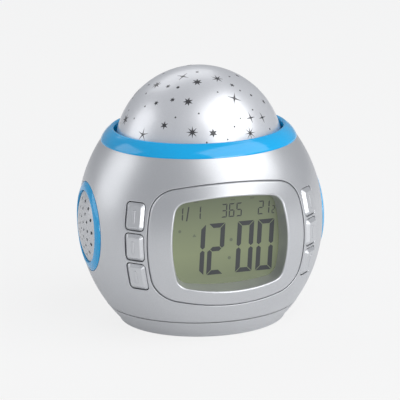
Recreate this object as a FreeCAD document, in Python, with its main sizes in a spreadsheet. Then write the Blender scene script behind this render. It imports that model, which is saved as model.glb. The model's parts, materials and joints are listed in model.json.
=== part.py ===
import FreeCAD, Part

import math
import os
import types

import Sketcher

# A ball-shaped projection alarm clock for a bedside table, in millimetres.
# The origin is the middle of the footprint on the table, +Z is up and the display faces -Y.
# Every turned piece starts from a half section, every moulded opening from a drawn outline.

Vector = FreeCAD.Vector
Rotation = FreeCAD.Rotation
Placement = FreeCAD.Placement

DIMENSIONS = [
    ("ball_radius", 55.7, "widest radius of the ball"),
    ("ball_arc", 65.5, "radius of the arc that is turned to make the ball"),
    ("ball_middle", 46.0, "height of the widest section"),
    ("wall", 2.4, "wall of the housing"),
    ("base_bottom", 0.0, "underside of the base, flat on the table"),
    ("seam_height", 8.0, "seam between base and body"),
    ("seam_gap", 0.25, "open line of the seam"),
    ("shoulder_height", 82.9, "top edge of the body, where the collar sits"),
    ("collar_crest", 88.7, "top of the collar"),
    ("collar_bore", 38.15, "inner radius of the collar"),
    ("crest_round", 1.15, "rounding of the collar's rim"),
    ("collar_arc", 12.0, "radius of the collar's sloping outer face"),
    ("dome_radius", 38.2, "radius of the dome"),
    ("dome_middle", 77.3, "height of the dome's centre"),
    ("dome_wall", 1.6, "wall of the dome"),
    ("dome_rim", 84.0, "lower rim of the dome"),
    ("deck_bottom", 75.0, "underside of the inner deck"),
    ("deck_thick", 2.0, "thickness of the inner deck"),
    ("pad_half_wide", 36.0, "half width of the display surround"),
    ("pad_half_high", 27.7, "half height of the display surround"),
    ("pad_middle", 45.2, "height of the middle of the display surround"),
    ("pad_side_bulge", 1.6, "bulge of the upright edges of the surround"),
    ("pad_top_bulge", 2.2, "bulge of the level edges of the surround"),
    ("pad_corner", 11.0, "corner of the surround"),
    ("pad_skin", 1.2, "thickness of the surround's visible skin"),
    ("pad_gap", 0.25, "open line round the surround"),
    ("pad_ledge", 2.7, "ledge of the body under the surround"),
    ("well_half_wide", 28.4, "half width of the display well at its mouth"),
    ("well_half_high", 21.75, "half height of the display well at its mouth"),
    ("window_half_wide", 24.4, "half width of the display well at the glass"),
    ("window_half_high", 20.4, "half height of the display well at the glass"),
    ("window_middle", 45.7, "height of the middle of the display"),
    ("window_side_bulge", 1.5, "bulge of the upright edges of the well"),
    ("window_top_bulge", 1.6, "bulge of the level edges of the well"),
    ("window_corner", 5.0, "corner of the well"),
    ("glass_front", 41.0, "front face of the display glass, from the axis"),
    ("mouth_front", 58.0, "front end of the well's cutter, from the axis"),
    ("glass_half_wide", 26.0, "half width of the display glass"),
    ("glass_half_high", 22.0, "half height of the display glass"),
    ("glass_thick", 2.8, "thickness of the display glass"),
    ("holder_half_wide", 28.0, "half width of the display holder"),
    ("holder_half_high", 24.0, "half height of the display holder"),
    ("holder_corner", 4.0, "corner of the display holder"),
    ("holder_depth", 7.0, "depth of the display holder"),
    ("board_thick", 1.6, "thickness of the circuit boards"),
    ("board_half_wide", 24.0, "half width of the main board"),
    ("board_half_high", 28.3, "half height of the main board"),
    ("post_radius", 2.2, "radius of the posts that carry boards"),
    ("pilot_radius", 0.95, "radius of the pilot holes in the posts"),
    ("board_screw_x", 18.0, "main board screws, from the middle"),
    ("board_screw_z", 26.5, "main board screws, from the middle"),
    ("key_angle", 47.4, "turn of each key column away from the front"),
    ("key_wide", 9.4, "width of a key"),
    ("key_high", 12.0, "height of a key"),
    ("key_corner", 1.7, "corner of a key"),
    ("key_gap", 0.35, "open line round a key"),
    ("key_pitch", 13.7, "spacing of the keys"),
    ("key_middle", 44.4, "height of the middle key"),
    ("key_bevel", 1.5, "bevel round the face of a key"),
    ("key_proud", 0.75, "how far a key's face stands out of the ball"),
    ("key_wing", 6.3, "half width of the wing that keeps a key in"),
    ("key_stem_end", 47.9, "inner end of a key's stem, from the axis"),
    ("key_board_out", 42.6, "outer face of a key board, from the axis"),
    ("switch_side", 6.0, "side of a push switch"),
    ("switch_high", 3.5, "height of a push switch's case"),
    ("speaker_ring_out", 20.2, "outer radius of a speaker ring"),
    ("speaker_ring_in", 16.3, "inner radius of a speaker ring"),
    ("speaker_seat", 50.2, "seat of a speaker ring, from the axis"),
    ("speaker_screw_ring", 20.2, "loudspeaker screws, from its axis"),
    ("grille_radius", 16.1, "radius of a grille"),
    ("grille_arc", 39.0, "radius of a grille's dome"),
    ("grille_apex", 56.3, "top of a grille's dome, from the axis"),
    ("grille_thick", 1.0, "thickness of a grille"),
    ("cell_radius", 5.25, "radius of a battery cell"),
    ("cell_length", 44.5, "length of a battery cell"),
    ("cell_pitch", 11.5, "spacing of the cells"),
    ("cell_axis", 8.3, "height of the cells' axes"),
    ("door_half_long", 27.0, "half length of the battery door"),
    ("door_half_wide", 18.6, "half width of the battery door"),
    ("door_thick", 2.0, "thickness of the battery door"),
    ("door_gap", 0.3, "open line round the battery door"),
    ("foot_x", 18.0, "feet, sideways from the middle"),
    ("foot_y", 25.5, "feet, front and back from the middle"),
    ("foot_radius", 3.6, "radius of a foot"),
    ("foot_thick", 1.2, "thickness of a foot"),
    ("screw_ring", 32.4, "base screws, from the axis"),
    ("screw_radius", 1.3, "radius of a screw's shank"),
]


class Size:
    """A number together with the sheet expression that it follows."""

    def __init__(self, value, text):
        self.value = value
        self.text = text

    def __add__(self, other):
        other = as_size(other)
        return Size(self.value + other.value, "(%s + %s)" % (self.text, other.text))

    def __sub__(self, other):
        other = as_size(other)
        return Size(self.value - other.value, "(%s - %s)" % (self.text, other.text))

    def __mul__(self, other):
        other = as_size(other)
        return Size(self.value * other.value, "(%s * %s)" % (self.text, other.text))

    def __truediv__(self, other):
        other = as_size(other)
        return Size(self.value / other.value, "(%s / %s)" % (self.text, other.text))

    def __neg__(self):
        return Size(-self.value, "(0 - %s)" % self.text)


def as_size(item):
    """Give a bare number the same form as a size from the sheet."""
    if isinstance(item, Size):
        return item
    if item < 0:
        return Size(float(item), "(0 - %r)" % float(-item))
    return Size(float(item), "%r" % float(item))


def root(item):
    """Square root of a size."""
    return Size(math.sqrt(item.value), "sqrt(%s)" % item.text)


doc = FreeCAD.newDocument("projection_clock")
sheet = doc.addObject("Spreadsheet::Sheet", "Sizes")
for row, (alias, number, note) in enumerate(DIMENSIONS, 1):
    sheet.set("A%d" % row, "'" + note)
    sheet.set("B%d" % row, str(number))
    sheet.setAlias("B%d" % row, alias)
doc.recompute()
size = types.SimpleNamespace(**{
    alias: Size(number, "Sizes." + alias) for alias, number, note in DIMENSIONS
})

parts = []
AXES = {"x": Vector(1, 0, 0), "y": Vector(0, 1, 0), "z": Vector(0, 0, 1)}
FULL_TURN = 360.0
MIRROR_SIDES = (("left", -1), ("right", 1))
KEY_SCREW_HEIGHTS = (21.4, 67.4)
SPEAKER_SCREW_ANGLES = (45, 135, 225, 315)


def move(x=0, y=0, z=0):
    """One step of a placement: a shift."""
    x, y, z = as_size(x), as_size(y), as_size(z)
    pose = Placement(Vector(x.value, y.value, z.value), Rotation())
    text = "placement(vector(%s; %s; %s); rotation(0; 0; 0))" % (x.text, y.text, z.text)
    return pose, text


def turn(axis, angle):
    """One step of a placement: a turn in degrees about an axis of the frame."""
    angle = as_size(angle)
    pose = Placement(Vector(), Rotation(AXES[axis], angle.value))
    way = AXES[axis]
    text = "placement(vector(0; 0; 0); rotation(vector(%d; %d; %d); %s))" % (
        way.x, way.y, way.z, angle.text)
    return pose, text


def place(item, steps):
    """Put an object where the steps lead, the first step outermost."""
    if not steps:
        return item
    pose = Placement()
    for step, text in steps:
        pose = pose.multiply(step)
    item.Placement = pose
    item.setExpression("Placement", " * ".join(text for step, text in steps))
    return item


def bind(item, name, value):
    """Set a property and tie it to the sheet."""
    value = as_size(value)
    setattr(item, name, value.value)
    if "Sizes." in value.text:
        item.setExpression(name, value.text)


def hold(sketch, kind, members, value):
    """Add one dimension to a sketch, tied to the sheet."""
    value = as_size(value)
    if abs(value.value) < 1e-9 and kind in ("DistanceX", "DistanceY"):
        axis = -2 if kind == "DistanceX" else -1
        sketch.addConstraint(Sketcher.Constraint("PointOnObject", members[2], members[3], axis))
        return
    index = sketch.addConstraint(Sketcher.Constraint(kind, *members, value.value))
    if "Sizes." in value.text:
        sketch.setExpression("Constraints[%d]" % index, value.text)


def draw(sketch, path, arcs=None):
    """Draw a closed outline through the path's points.

    arcs maps the number of a side to its radius: a positive radius bulges to the
    right of the way the path runs, a negative one to the left.
    """
    arcs = arcs or {}
    path = [(as_size(x), as_size(y)) for x, y in path]
    first = sketch.GeometryCount
    ends = []
    for side, (x, y) in enumerate(path):
        start = Vector(x.value, y.value, 0)
        following = path[(side + 1) % len(path)]
        end = Vector(following[0].value, following[1].value, 0)
        if side not in arcs:
            sketch.addGeometry(Part.LineSegment(start, end))
            ends.append((1, 2))
            continue
        radius = as_size(arcs[side])
        chord = end - start
        reach = math.sqrt(max(radius.value ** 2 - (chord.Length / 2) ** 2, 0.0))
        left = Vector(-chord.y, chord.x, 0).normalize()
        bulge = 1 if radius.value > 0 else -1
        centre = (start + end) * 0.5 + left * (reach * bulge)
        angles = [math.atan2(point.y - centre.y, point.x - centre.x) for point in (start, end)]
        circle = Part.Circle(centre, Vector(0, 0, 1), abs(radius.value))
        if bulge > 0:
            sketch.addGeometry(Part.ArcOfCircle(circle, angles[0], angles[1]))
            ends.append((1, 2))
        else:
            sketch.addGeometry(Part.ArcOfCircle(circle, angles[1], angles[0]))
            ends.append((2, 1))
    for side, (x, y) in enumerate(path):
        curve = first + side
        after = (side + 1) % len(path)
        members = (curve, ends[side][1], first + after, ends[after][0])
        sketch.addConstraint(Sketcher.Constraint("Coincident", *members))
        hold(sketch, "DistanceX", (-1, 1, curve, ends[side][0]), x)
        hold(sketch, "DistanceY", (-1, 1, curve, ends[side][0]), y)
        if side in arcs:
            radius = as_size(arcs[side])
            hold(sketch, "Radius", (curve,), radius if radius.value > 0 else -radius)


def draw_circle(sketch, x, y, radius):
    """Draw a circle at a point."""
    x, y, radius = as_size(x), as_size(y), as_size(radius)
    circle = Part.Circle(Vector(x.value, y.value, 0), Vector(0, 0, 1), radius.value)
    curve = sketch.addGeometry(circle)
    hold(sketch, "Radius", (curve,), radius)
    hold(sketch, "DistanceX", (-1, 1, curve, 3), x)
    hold(sketch, "DistanceY", (-1, 1, curve, 3), y)


def draw_panel(sketch, half_wide, half_high, corner, x=0, y=0):
    """Draw a rectangle with rounded corners about a point."""
    x, y, corner = as_size(x), as_size(y), as_size(corner)
    half_wide, half_high = as_size(half_wide), as_size(half_high)
    west, east = x - half_wide, x + half_wide
    south, north = y - half_high, y + half_high
    path = [
        (west + corner, south), (east - corner, south), (east, south + corner),
        (east, north - corner), (east - corner, north), (west + corner, north),
        (west, north - corner), (west, south + corner),
    ]
    draw(sketch, path, {1: corner, 3: corner, 5: corner, 7: corner})


def draw_cushion(sketch, half_wide, half_high, side_bulge, top_bulge, corner, y):
    """Draw a rectangle whose four sides bulge and whose corners are round."""
    corner_ease = 1.22
    flat_x = half_wide - side_bulge - corner
    flat_y = half_high - top_bulge - corner
    edge_x = half_wide - side_bulge
    edge_y = half_high - top_bulge
    side_arc = (flat_y * flat_y + side_bulge * side_bulge) / (side_bulge * 2)
    top_arc = (flat_x * flat_x + top_bulge * top_bulge) / (top_bulge * 2)
    path = [
        (-flat_x, y - edge_y), (flat_x, y - edge_y), (edge_x, y - flat_y), (edge_x, y + flat_y),
        (flat_x, y + edge_y), (-flat_x, y + edge_y), (-edge_x, y + flat_y), (-edge_x, y - flat_y),
    ]
    round_corner = corner * corner_ease
    draw(sketch, path, {
        0: top_arc, 2: side_arc, 4: top_arc, 6: side_arc,
        1: round_corner, 3: round_corner, 5: round_corner, 7: round_corner,
    })


def new_body(name, steps=()):
    """Start a body at a place."""
    body = doc.addObject("PartDesign::Body", name)
    return place(body, steps)


def sketch_in(body, role="XY_Plane", offset=None):
    """Start a sketch on one of a body's own planes."""
    sketch = body.newObject("Sketcher::SketchObject", body.Name + "_sketch")
    plane = [item for item in body.Origin.OriginFeatures if item.Role == role][0]
    sketch.AttachmentSupport = [(plane, "")]
    sketch.MapMode = "FlatFace"
    if offset is not None:
        offset = as_size(offset)
        sketch.AttachmentOffset = Placement(Vector(0, 0, offset.value), Rotation())
        if "Sizes." in offset.text:
            sketch.setExpression("AttachmentOffset.Base.z", offset.text)
    return sketch


def pad(body, sketch, length):
    """Pad a sketch of a body."""
    feature = body.newObject("PartDesign::Pad", body.Name + "_pad")
    feature.Profile = sketch
    bind(feature, "Length", length)
    return feature


def revolve(name, path, arcs=None, steps=()):
    """Turn a half section, given as radius and height, about the upright axis."""
    body = new_body(name, steps)
    sketch = sketch_in(body, "XZ_Plane")
    draw(sketch, path, arcs)
    feature = body.newObject("PartDesign::Revolution", name + "_turned")
    feature.Profile = sketch
    feature.ReferenceAxis = (sketch, ["V_Axis"])
    feature.Angle = FULL_TURN
    return body


def panel(name, half_wide, half_high, corner, thick, steps=(), x=0, y=0):
    """Pad a rounded rectangle: it is drawn level and padded upwards in its own frame."""
    body = new_body(name, steps)
    sketch = sketch_in(body)
    draw_panel(sketch, half_wide, half_high, corner, x, y)
    pad(body, sketch, thick)
    return body


def discs(name, places, radius, thick, steps=()):
    """Pad one or more equal discs."""
    body = new_body(name, steps)
    sketch = sketch_in(body)
    for x, y in places:
        draw_circle(sketch, x, y, radius)
    pad(body, sketch, thick)
    return body


def box(name, corner, sides, steps=()):
    """A plain block from its lowest corner and its sides."""
    item = doc.addObject("Part::Box", name)
    for prop, value in zip(("Length", "Width", "Height"), sides):
        bind(item, prop, value)
    return place(item, tuple(steps) + (move(*corner),))


def rod(name, radius, length, steps=()):
    """A plain cylinder along the Z axis of its place."""
    item = doc.addObject("Part::Cylinder", name)
    bind(item, "Radius", radius)
    bind(item, "Height", length)
    return place(item, steps)


def cut(name, base, tools):
    """Take the tools away from the base."""
    item = doc.addObject("Part::Cut", name)
    item.Base = base
    item.Tool = fuse(name + "_tools", tools) if len(tools) > 1 else tools[0]
    return item


def fuse(name, pieces):
    """Join pieces into one."""
    item = doc.addObject("Part::MultiFuse", name)
    item.Shapes = pieces
    item.Refine = True
    return item


def common(name, pieces):
    """Keep what all the pieces share."""
    item = doc.addObject("Part::MultiCommon", name)
    item.Shapes = pieces
    return item


def group(name, pieces):
    """Equal pieces that stay separate solids under one name."""
    item = doc.addObject("Part::Compound", name)
    item.Links = pieces
    return item


def finish(label, item):
    """Name a sub-part."""
    item.Label = label
    parts.append(item)
    return item


def ball_reach(height, inset=0):
    """Radius of the ball at a height, less an inset of its skin."""
    inset = as_size(inset)
    rise = as_size(height) - size.ball_middle
    arc = size.ball_arc - inset
    return size.ball_radius - size.ball_arc + root(arc * arc - rise * rise)


def ball(name, inset, low, high):
    """Solid ball between two heights, its skin set in by an inset. Its seam is at the back."""
    arc = size.ball_arc - inset
    return revolve(name, [
        (0, low), (ball_reach(low, inset), low), (ball_reach(high, inset), high), (0, high),
    ], {1: arc}, (turn("z", 90),))


# Outward frames: in each of these, the sketch lies upright, its X runs to the right of a
# person looking at the object from outside, its Y runs up and a pad goes outwards.
def facing_out(angle, out, across=0, up=0):
    """Steps to an upright plane at a distance from the axis, turned from the front."""
    return (turn("z", angle), move(across, -as_size(out), up), turn("x", 90))


# Housing
outer_ball = ball("outer_ball", as_size(0), size.seam_height + size.seam_gap, size.shoulder_height)
inner_ball = ball("inner_ball", size.wall, size.seam_height - 1, size.shoulder_height + 1)


def cushion_prism(name, shrink):
    """Prism from the axis to beyond the front, with the outline of the display surround."""
    body = new_body(name, facing_out(0, 20))
    sketch = sketch_in(body)
    draw_cushion(
        sketch, size.pad_half_wide - shrink, size.pad_half_high - shrink, size.pad_side_bulge,
        size.pad_top_bulge, size.pad_corner - as_size(shrink) * 0.7, size.pad_middle)
    pad(body, sketch, 40)
    return body


skin_ball = ball("skin_ball", size.pad_skin, size.seam_height, size.shoulder_height)
recess_ball = ball("recess_ball", size.pad_skin + 0.1, size.seam_height, size.shoulder_height)
recess = cut("pad_recess", cushion_prism("pad_outline_open", -size.pad_gap), [recess_ball])
pad_opening = cushion_prism("pad_opening", size.pad_ledge)


def key_rows():
    """Names and heights of the keys in one column."""
    return (
        ("upper", size.key_middle + size.key_pitch), ("middle", size.key_middle),
        ("lower", size.key_middle - size.key_pitch),
    )


def key_slots():
    """Cutters for the two columns of key slots."""
    slots = []
    for side, sign in MIRROR_SIDES:
        body = new_body("%s_slots" % side, facing_out(size.key_angle * sign, 46))
        sketch = sketch_in(body)
        for row, height in key_rows():
            draw_panel(sketch, size.key_wide / 2 + size.key_gap, size.key_high / 2 + size.key_gap,
                       size.key_corner + size.key_gap, 0, height)
        pad(body, sketch, 14)
        slots.append(body)
    return slots


def key_posts():
    """Posts inside the body that carry the key boards."""
    posts = []
    for side, sign in MIRROR_SIDES:
        for spot, height in zip(("low", "high"), KEY_SCREW_HEIGHTS):
            posts.append(rod("%s_post_%s" % (side, spot), size.post_radius, 8.0, facing_out(
                size.key_angle * sign, size.key_board_out, 0, height)))
    return posts


def board_places():
    """Places of the main board's screws, across and up."""
    return [(size.board_screw_x * sx, size.window_middle + size.board_screw_z * sz)
            for sx in (-1, 1) for sz in (-1, 1)]


def board_posts():
    """Posts inside the body that carry the main board."""
    rear = size.glass_front - size.holder_depth
    return [rod("board_post", size.post_radius, 14, facing_out(0, rear, x, z))
            for x, z in board_places()]


def pilot_holes():
    """Pilot holes in the posts and in the loudspeaker's seat."""
    rear = size.glass_front - size.holder_depth
    holes = [rod("board_pilot", size.pilot_radius, 6, facing_out(0, rear - 0.5, x, z))
             for x, z in board_places()]
    for side, sign in MIRROR_SIDES:
        for height in KEY_SCREW_HEIGHTS:
            holes.append(rod("key_pilot", size.pilot_radius, 5, facing_out(
                size.key_angle * sign, size.key_board_out - 0.5, 0, height)))
    for angle in SPEAKER_SCREW_ANGLES:
        holes.append(rod("speaker_pilot", size.pilot_radius, 3.6, speaker_screw_frame(
            angle, size.speaker_seat - 4.1)))
    return holes


def speaker_screw_frame(angle, out):
    """Steps to one of the loudspeaker's screws."""
    return speaker_frame(-1, out) + (turn("z", angle), move(0, -size.speaker_screw_ring, 0))


def speaker_frame(sign, out):
    """Steps to a plane that faces sideways, at the height of the speakers."""
    return facing_out(90 * sign, out, 0, size.ball_middle)


def speaker_tubes():
    """Seats moulded inside the body for the speaker rings."""
    return [rod("%s_seat" % side, size.speaker_ring_out + 2.2, 5.0, speaker_frame(
        sign, size.speaker_seat - 3.6)) for side, sign in MIRROR_SIDES]


def speaker_cuts():
    """Stepped holes for the speaker rings."""
    cutters = []
    for side, sign in MIRROR_SIDES:
        cutters.append(rod("%s_step" % side, size.speaker_ring_out + 0.15, 10, speaker_frame(
            sign, size.speaker_seat)))
        cutters.append(rod("%s_bore" % side, size.speaker_ring_out - 2.3, 20, speaker_frame(
            sign, 40)))
    return cutters


QUARTERS = (("front", 0), ("right", 90), ("back", 180), ("left", 270))


def base_pillars():
    """Pillars and ribs on the body that the base screws go into."""
    pillars = []
    for spot, angle in QUARTERS:
        reach = (turn("z", angle),)
        pillars.append(rod("pillar_" + spot, 2.9, 5.5, reach + (
            move(0, -size.screw_ring, size.seam_height + 3.5),)))
        pillars.append(box("rib_" + spot, (-0.9, -size.screw_ring - 16, size.seam_height + 3.5),
                           (1.8, 15.0, 5.5), reach))
    return pillars


def pillar_bores():
    """Pilot holes for the base screws."""
    return [rod("pilot_" + spot, size.screw_radius, 6.0, (
        turn("z", angle), move(0, -size.screw_ring, size.seam_height + 3.0)))
        for spot, angle in QUARTERS]


def body_shell():
    """Upper housing: ball shell with openings for display, keys and speakers."""
    shell = cut("shell_wall", outer_ball, [inner_ball])
    extras = common("shell_extras", [
        fuse("shell_inner_forms", key_posts() + board_posts() + speaker_tubes() + base_pillars()),
        ball("extras_limit", as_size(0.8), size.seam_height + 1, size.shoulder_height)])
    joined = fuse("shell_joined", [shell, extras])
    tools = [recess, pad_opening] + key_slots() + speaker_cuts() + pillar_bores() + pilot_holes()
    finish("body_shell", cut("body_shell", joined, tools))


def base_cup():
    """Lower housing with the battery compartment, foot pockets and screw pillars."""
    edge_round = 1.4
    low, high = size.base_bottom, size.seam_height
    arc = size.ball_arc
    cup = revolve("cup_skin", [
        (0, low), (ball_reach(low) - edge_round, low),
        (ball_reach(low + edge_round), low + edge_round), (ball_reach(high), high), (0, high),
    ], {1: as_size(edge_round) * 1.25, 2: arc})
    spigot = revolve("cup_spigot", [
        (0, high - 3), (ball_reach(high, size.wall) - 0.3, high - 3),
        (ball_reach(high, size.wall) - 0.3, high + 2.2), (0, high + 2.2),
    ])
    hollow = revolve("cup_hollow", [
        (0, low + size.wall), (ball_reach(low + size.wall, size.wall) - 1.6, low + size.wall),
        (ball_reach(high, size.wall) - 2.0, high), (ball_reach(high, size.wall) - 2.0, high + 4),
        (0, high + 4),
    ])
    shell = cut("cup_shell", fuse("cup_solid", [cup, spigot]), [hollow])
    roof = size.cell_axis + size.cell_radius + 2.0
    case = panel("cell_case", size.door_half_long + 1.2, size.door_half_wide + 1.2, 2, roof - low,
                 (move(0, 0, low),))
    pillars = [rod("cup_pillar_" + spot, 3.4, size.seam_height + 3.3 - low, (
        turn("z", angle), move(0, -size.screw_ring, low))) for spot, angle in QUARTERS]
    bay = panel("cell_bay", size.door_half_long - 2.4, size.door_half_wide - 1.2, 1, roof - low - 0.5,
                (move(0, 0, low - 1),))
    door_seat = panel("door_seat", size.door_half_long + size.door_gap,
                      size.door_half_wide + size.door_gap, 1.6, size.door_thick + 1,
                      (move(0, 0, low - 1),))
    tools = [bay, door_seat]
    for spot, angle in QUARTERS:
        reach = (turn("z", angle), move(0, -size.screw_ring, low - 1))
        tools.append(rod("head_hole_" + spot, 2.8, 5.2, reach))
        tools.append(rod("shank_hole_" + spot, size.screw_radius + 0.2, 16, reach))
    for x, y in foot_places():
        tools.append(rod("foot_pocket", size.foot_radius + 0.1, size.foot_thick + 1,
                         (move(x, y, low - 1),)))
    finish("base_cup", cut("base_cup", fuse("cup_joined", [shell, case] + pillars), tools))


def foot_places():
    """Places of the four feet."""
    return [(size.foot_x * sx, size.foot_y * sy) for sx in (-1, 1) for sy in (-1, 1)]


def rubber_feet():
    """Four rubber pads let into the underside of the base, level with it."""
    feet = [rod("foot", size.foot_radius, size.foot_thick, (move(x, y, size.base_bottom),))
            for x, y in foot_places()]
    finish("rubber_feet", group("rubber_feet", feet))


def base_screws():
    """Four screws that hold the base to the body."""
    screws = []
    head_seat = size.base_bottom + 4.2
    for spot, angle in QUARTERS:
        screws.append(revolve("base_screw_" + spot, [
            (0, head_seat - 2), (1.9, head_seat - 2), (2.4, head_seat - 1.4), (2.4, head_seat),
            (size.screw_radius, head_seat), (size.screw_radius, head_seat + 10.5),
            (0, head_seat + 12),
        ], None, (turn("z", angle), move(0, -size.screw_ring, 0))))
    finish("base_screws", group("base_screws", screws))


def collar_ring():
    """Blue collar round the dome: sloping face outside, rounded crest, straight bore."""
    seat = size.shoulder_height
    crest = size.collar_crest
    bore = size.collar_bore
    spigot = ball_reach(seat, size.wall) - 0.25
    finish("collar_ring", revolve("collar_ring", [
        (bore, seat - 2.4), (spigot - 0.3, seat - 2.4), (spigot, seat - 2.0), (spigot, seat),
        (ball_reach(seat), seat), (ball_reach(seat) - 0.1, seat + 0.6),
        (bore + size.crest_round * 1.8, crest - size.crest_round * 0.4),
        (bore, crest - size.crest_round),
    ], {5: size.collar_arc, 6: size.crest_round}))


def star_dome():
    """Clear dome, a cap of a sphere, whose silver coat carries the star windows."""
    rim = size.dome_rim - size.dome_middle
    outer, inner = size.dome_radius, size.dome_radius - size.dome_wall
    finish("star_dome", revolve("star_dome", [
        (root(inner * inner - rim * rim), rim), (root(outer * outer - rim * rim), rim),
        (0, outer), (0, inner),
    ], {1: outer, 3: -inner}, (move(0, 0, size.dome_middle),)))


THIRDS = (0, 120, 240)


def dome_carrier():
    """Ring under the dome, with the hooks that keep it on the deck and the switch finger."""
    top = size.dome_rim
    low = top - 2.0
    ring = revolve("carrier_ring", [
        (33.0, low), (size.dome_radius - 0.8, low), (size.dome_radius - 0.8, top), (35.3, top),
        (34.6, top + 2.2), (33.0, top + 2.2),
    ])
    pieces = [ring]
    hook_low = size.deck_bottom - 2.2
    for number, angle in enumerate(THIRDS):
        reach = (turn("z", angle + 60),)
        pieces.append(box("hook_leg_%d" % number, (-2.5, -35.8, hook_low), (5, 1.6, low - hook_low + 0.5),
                          reach))
        pieces.append(box("hook_barb_%d" % number, (-2.5, -37.3, hook_low),
                          (5, 2.2, size.deck_bottom - hook_low - 0.2), reach))
    pieces.append(box("switch_finger", (-3.5, -34.5, low), (7, 8.5, 1.8)))
    finish("dome_carrier", fuse("dome_carrier", pieces))


def inner_deck():
    """Deck that carries the lamps under the dome; its edge seats on the housing's inside."""
    low = size.deck_bottom
    high = low + size.deck_thick
    plate = ball("deck_plate", size.wall, low, high)
    slots = [box("hook_slot", (-3.0, -36.3, low - 1), (6, 2.5, 4), (turn("z", angle + 60),))
             for angle in THIRDS]
    holes = [rod("lead_hole", 2.5, 6, (move(0, 24, low - 1),))]
    finish("inner_deck", cut("inner_deck", plate, slots + holes))


def dome_springs():
    """Three return springs between the deck and the dome's ring."""
    low = size.deck_bottom + size.deck_thick
    high = size.dome_rim - 2.0
    springs = []
    for number, angle in enumerate(THIRDS):
        springs.append(revolve("dome_spring_%d" % number, [
            (1.4, low), (1.8, low), (1.8, high), (1.4, high),
        ], None, (turn("z", angle + 20), move(0, -35.3, 0))))
    finish("dome_springs", group("dome_springs", springs))


def projector_parts():
    """Lamp board, lamps and the push switch under the dome."""
    low = size.deck_bottom + size.deck_thick
    finish("projector_board", discs("projector_board", [(0, 0)], 32.0, size.board_thick,
                                    (move(0, 0, low),)))
    top = low + size.board_thick
    lamps = []
    for number, angle in enumerate((0, 90, 180, 270)):
        lamps.append(revolve("lamp_%d" % number, [
            (0, top), (2.9, top), (2.9, top + 1), (2.5, top + 1), (2.5, top + 4.2), (0, top + 6.7),
        ], {4: 2.5}, (turn("z", angle + 45), move(0, -4.6, 0))))
    finish("projector_lamps", group("projector_lamps", lamps))
    case = box("dome_switch_case", (-3, -31, top), (6, 6, 1.2))
    plunger = rod("dome_switch_plunger", 1.6, 1.5, (move(0, -28, top),))
    finish("dome_switch", fuse("dome_switch", [case, plunger]))


def well_cutter():
    """Cutter for the display well: a ruled loft from the mouth to the glass."""
    body = new_body("well_cutter", facing_out(0, size.glass_front - 0.5))
    rear = sketch_in(body)
    draw_cushion(rear, size.window_half_wide, size.window_half_high, size.window_side_bulge,
                 size.window_top_bulge, size.window_corner, size.window_middle)
    front = sketch_in(body, "XY_Plane", size.mouth_front - size.glass_front)
    draw_cushion(front, size.well_half_wide, size.well_half_high, size.window_side_bulge,
                 size.window_top_bulge, size.window_corner, size.window_middle)
    loft = body.newObject("PartDesign::AdditiveLoft", "well_loft")
    loft.Profile = rear
    loft.Sections = [front]
    loft.Ruled = True
    return body


def front_bezel():
    """Display surround: skin flush with the ball, plug behind it and the display well."""
    skin = common("bezel_skin", [
        cushion_prism("pad_outline", as_size(0)),
        cut("skin_layer", ball("bezel_ball", as_size(0), 12, 80), [skin_ball])])
    plug = common("bezel_plug", [
        cushion_prism("plug_outline", size.pad_ledge + 0.2),
        cut("plug_layer", ball("plug_ball", size.pad_skin - 0.05, 12, 80),
            [ball("plug_inner", size.wall + 0.2, 11, 81)])])
    block = common("bezel_block", [
        panel("well_block", size.holder_half_wide, size.holder_half_high, size.holder_corner, 25,
              facing_out(0, size.glass_front, 0, size.window_middle)),
        ball("block_ball", as_size(0.3), 12, 80),
        cushion_prism("block_outline", size.pad_ledge + 0.2)])
    solid = fuse("bezel_solid", [skin, plug, block])
    finish("front_bezel", cut("front_bezel", solid, [well_cutter()]))


def small_screw(name, length, steps):
    """Pan-head screw: its head lies behind the plane that it starts from."""
    shank = size.pilot_radius - 0.03
    return revolve(name, [
        (0, -1.4), (1.4, -1.4), (1.9, -0.9), (1.9, 0), (shank, 0), (shank, length),
        (0, shank + length)], None, steps)


def display_stack():
    """Display glass, its holder, the backlight, the contact strips and the main board."""
    front = size.glass_front
    rear = front - size.holder_depth
    middle = size.window_middle
    finish("lcd_glass", panel("lcd_glass", size.glass_half_wide, size.glass_half_high, 0.8,
                              size.glass_thick, facing_out(0, front - size.glass_thick, 0, middle)))
    frame = panel("holder_block", size.holder_half_wide, size.holder_half_high, size.holder_corner,
                  size.holder_depth, facing_out(0, rear, 0, middle))
    hollow = panel("holder_hollow", size.glass_half_wide, size.glass_half_high, 0.8, 20,
                   facing_out(0, rear - 5, 0, middle))
    finish("lcd_holder", cut("lcd_holder", frame, [hollow]))
    depth = size.holder_depth - size.glass_thick
    finish("backlight_panel", panel("backlight_panel", size.glass_half_wide - 0.6,
                                    size.glass_half_high - 3.2, 1, depth,
                                    facing_out(0, rear, 0, middle)))
    strips = [panel("contact_strip", size.glass_half_wide - 1.5, 1.1, 0.4, depth, facing_out(
        0, rear, 0, middle + (size.glass_half_high - 1.4) * sign)) for sign in (-1, 1)]
    finish("contact_strips", group("contact_strips", strips))
    board = panel("board_blank", size.board_half_wide, size.board_half_high, 2, size.board_thick,
                  facing_out(0, rear - size.board_thick, 0, middle))
    holes = [rod("board_hole", 1.1, 6, facing_out(0, rear - 4, x, z)) for x, z in board_places()]
    finish("main_board", cut("main_board", board, holes))
    back = rear - size.board_thick
    finish("clock_chip", revolve("clock_chip", [(0, 0), (8, 0), (6.5, 1.3), (0, 1.8)], {1: 4}, (
        move(0, -back, middle), turn("x", -90))))
    screws = [small_screw("board_screw", 5, facing_out(0, back, x, z)) for x, z in board_places()]
    finish("board_screws", group("board_screws", screws))


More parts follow.
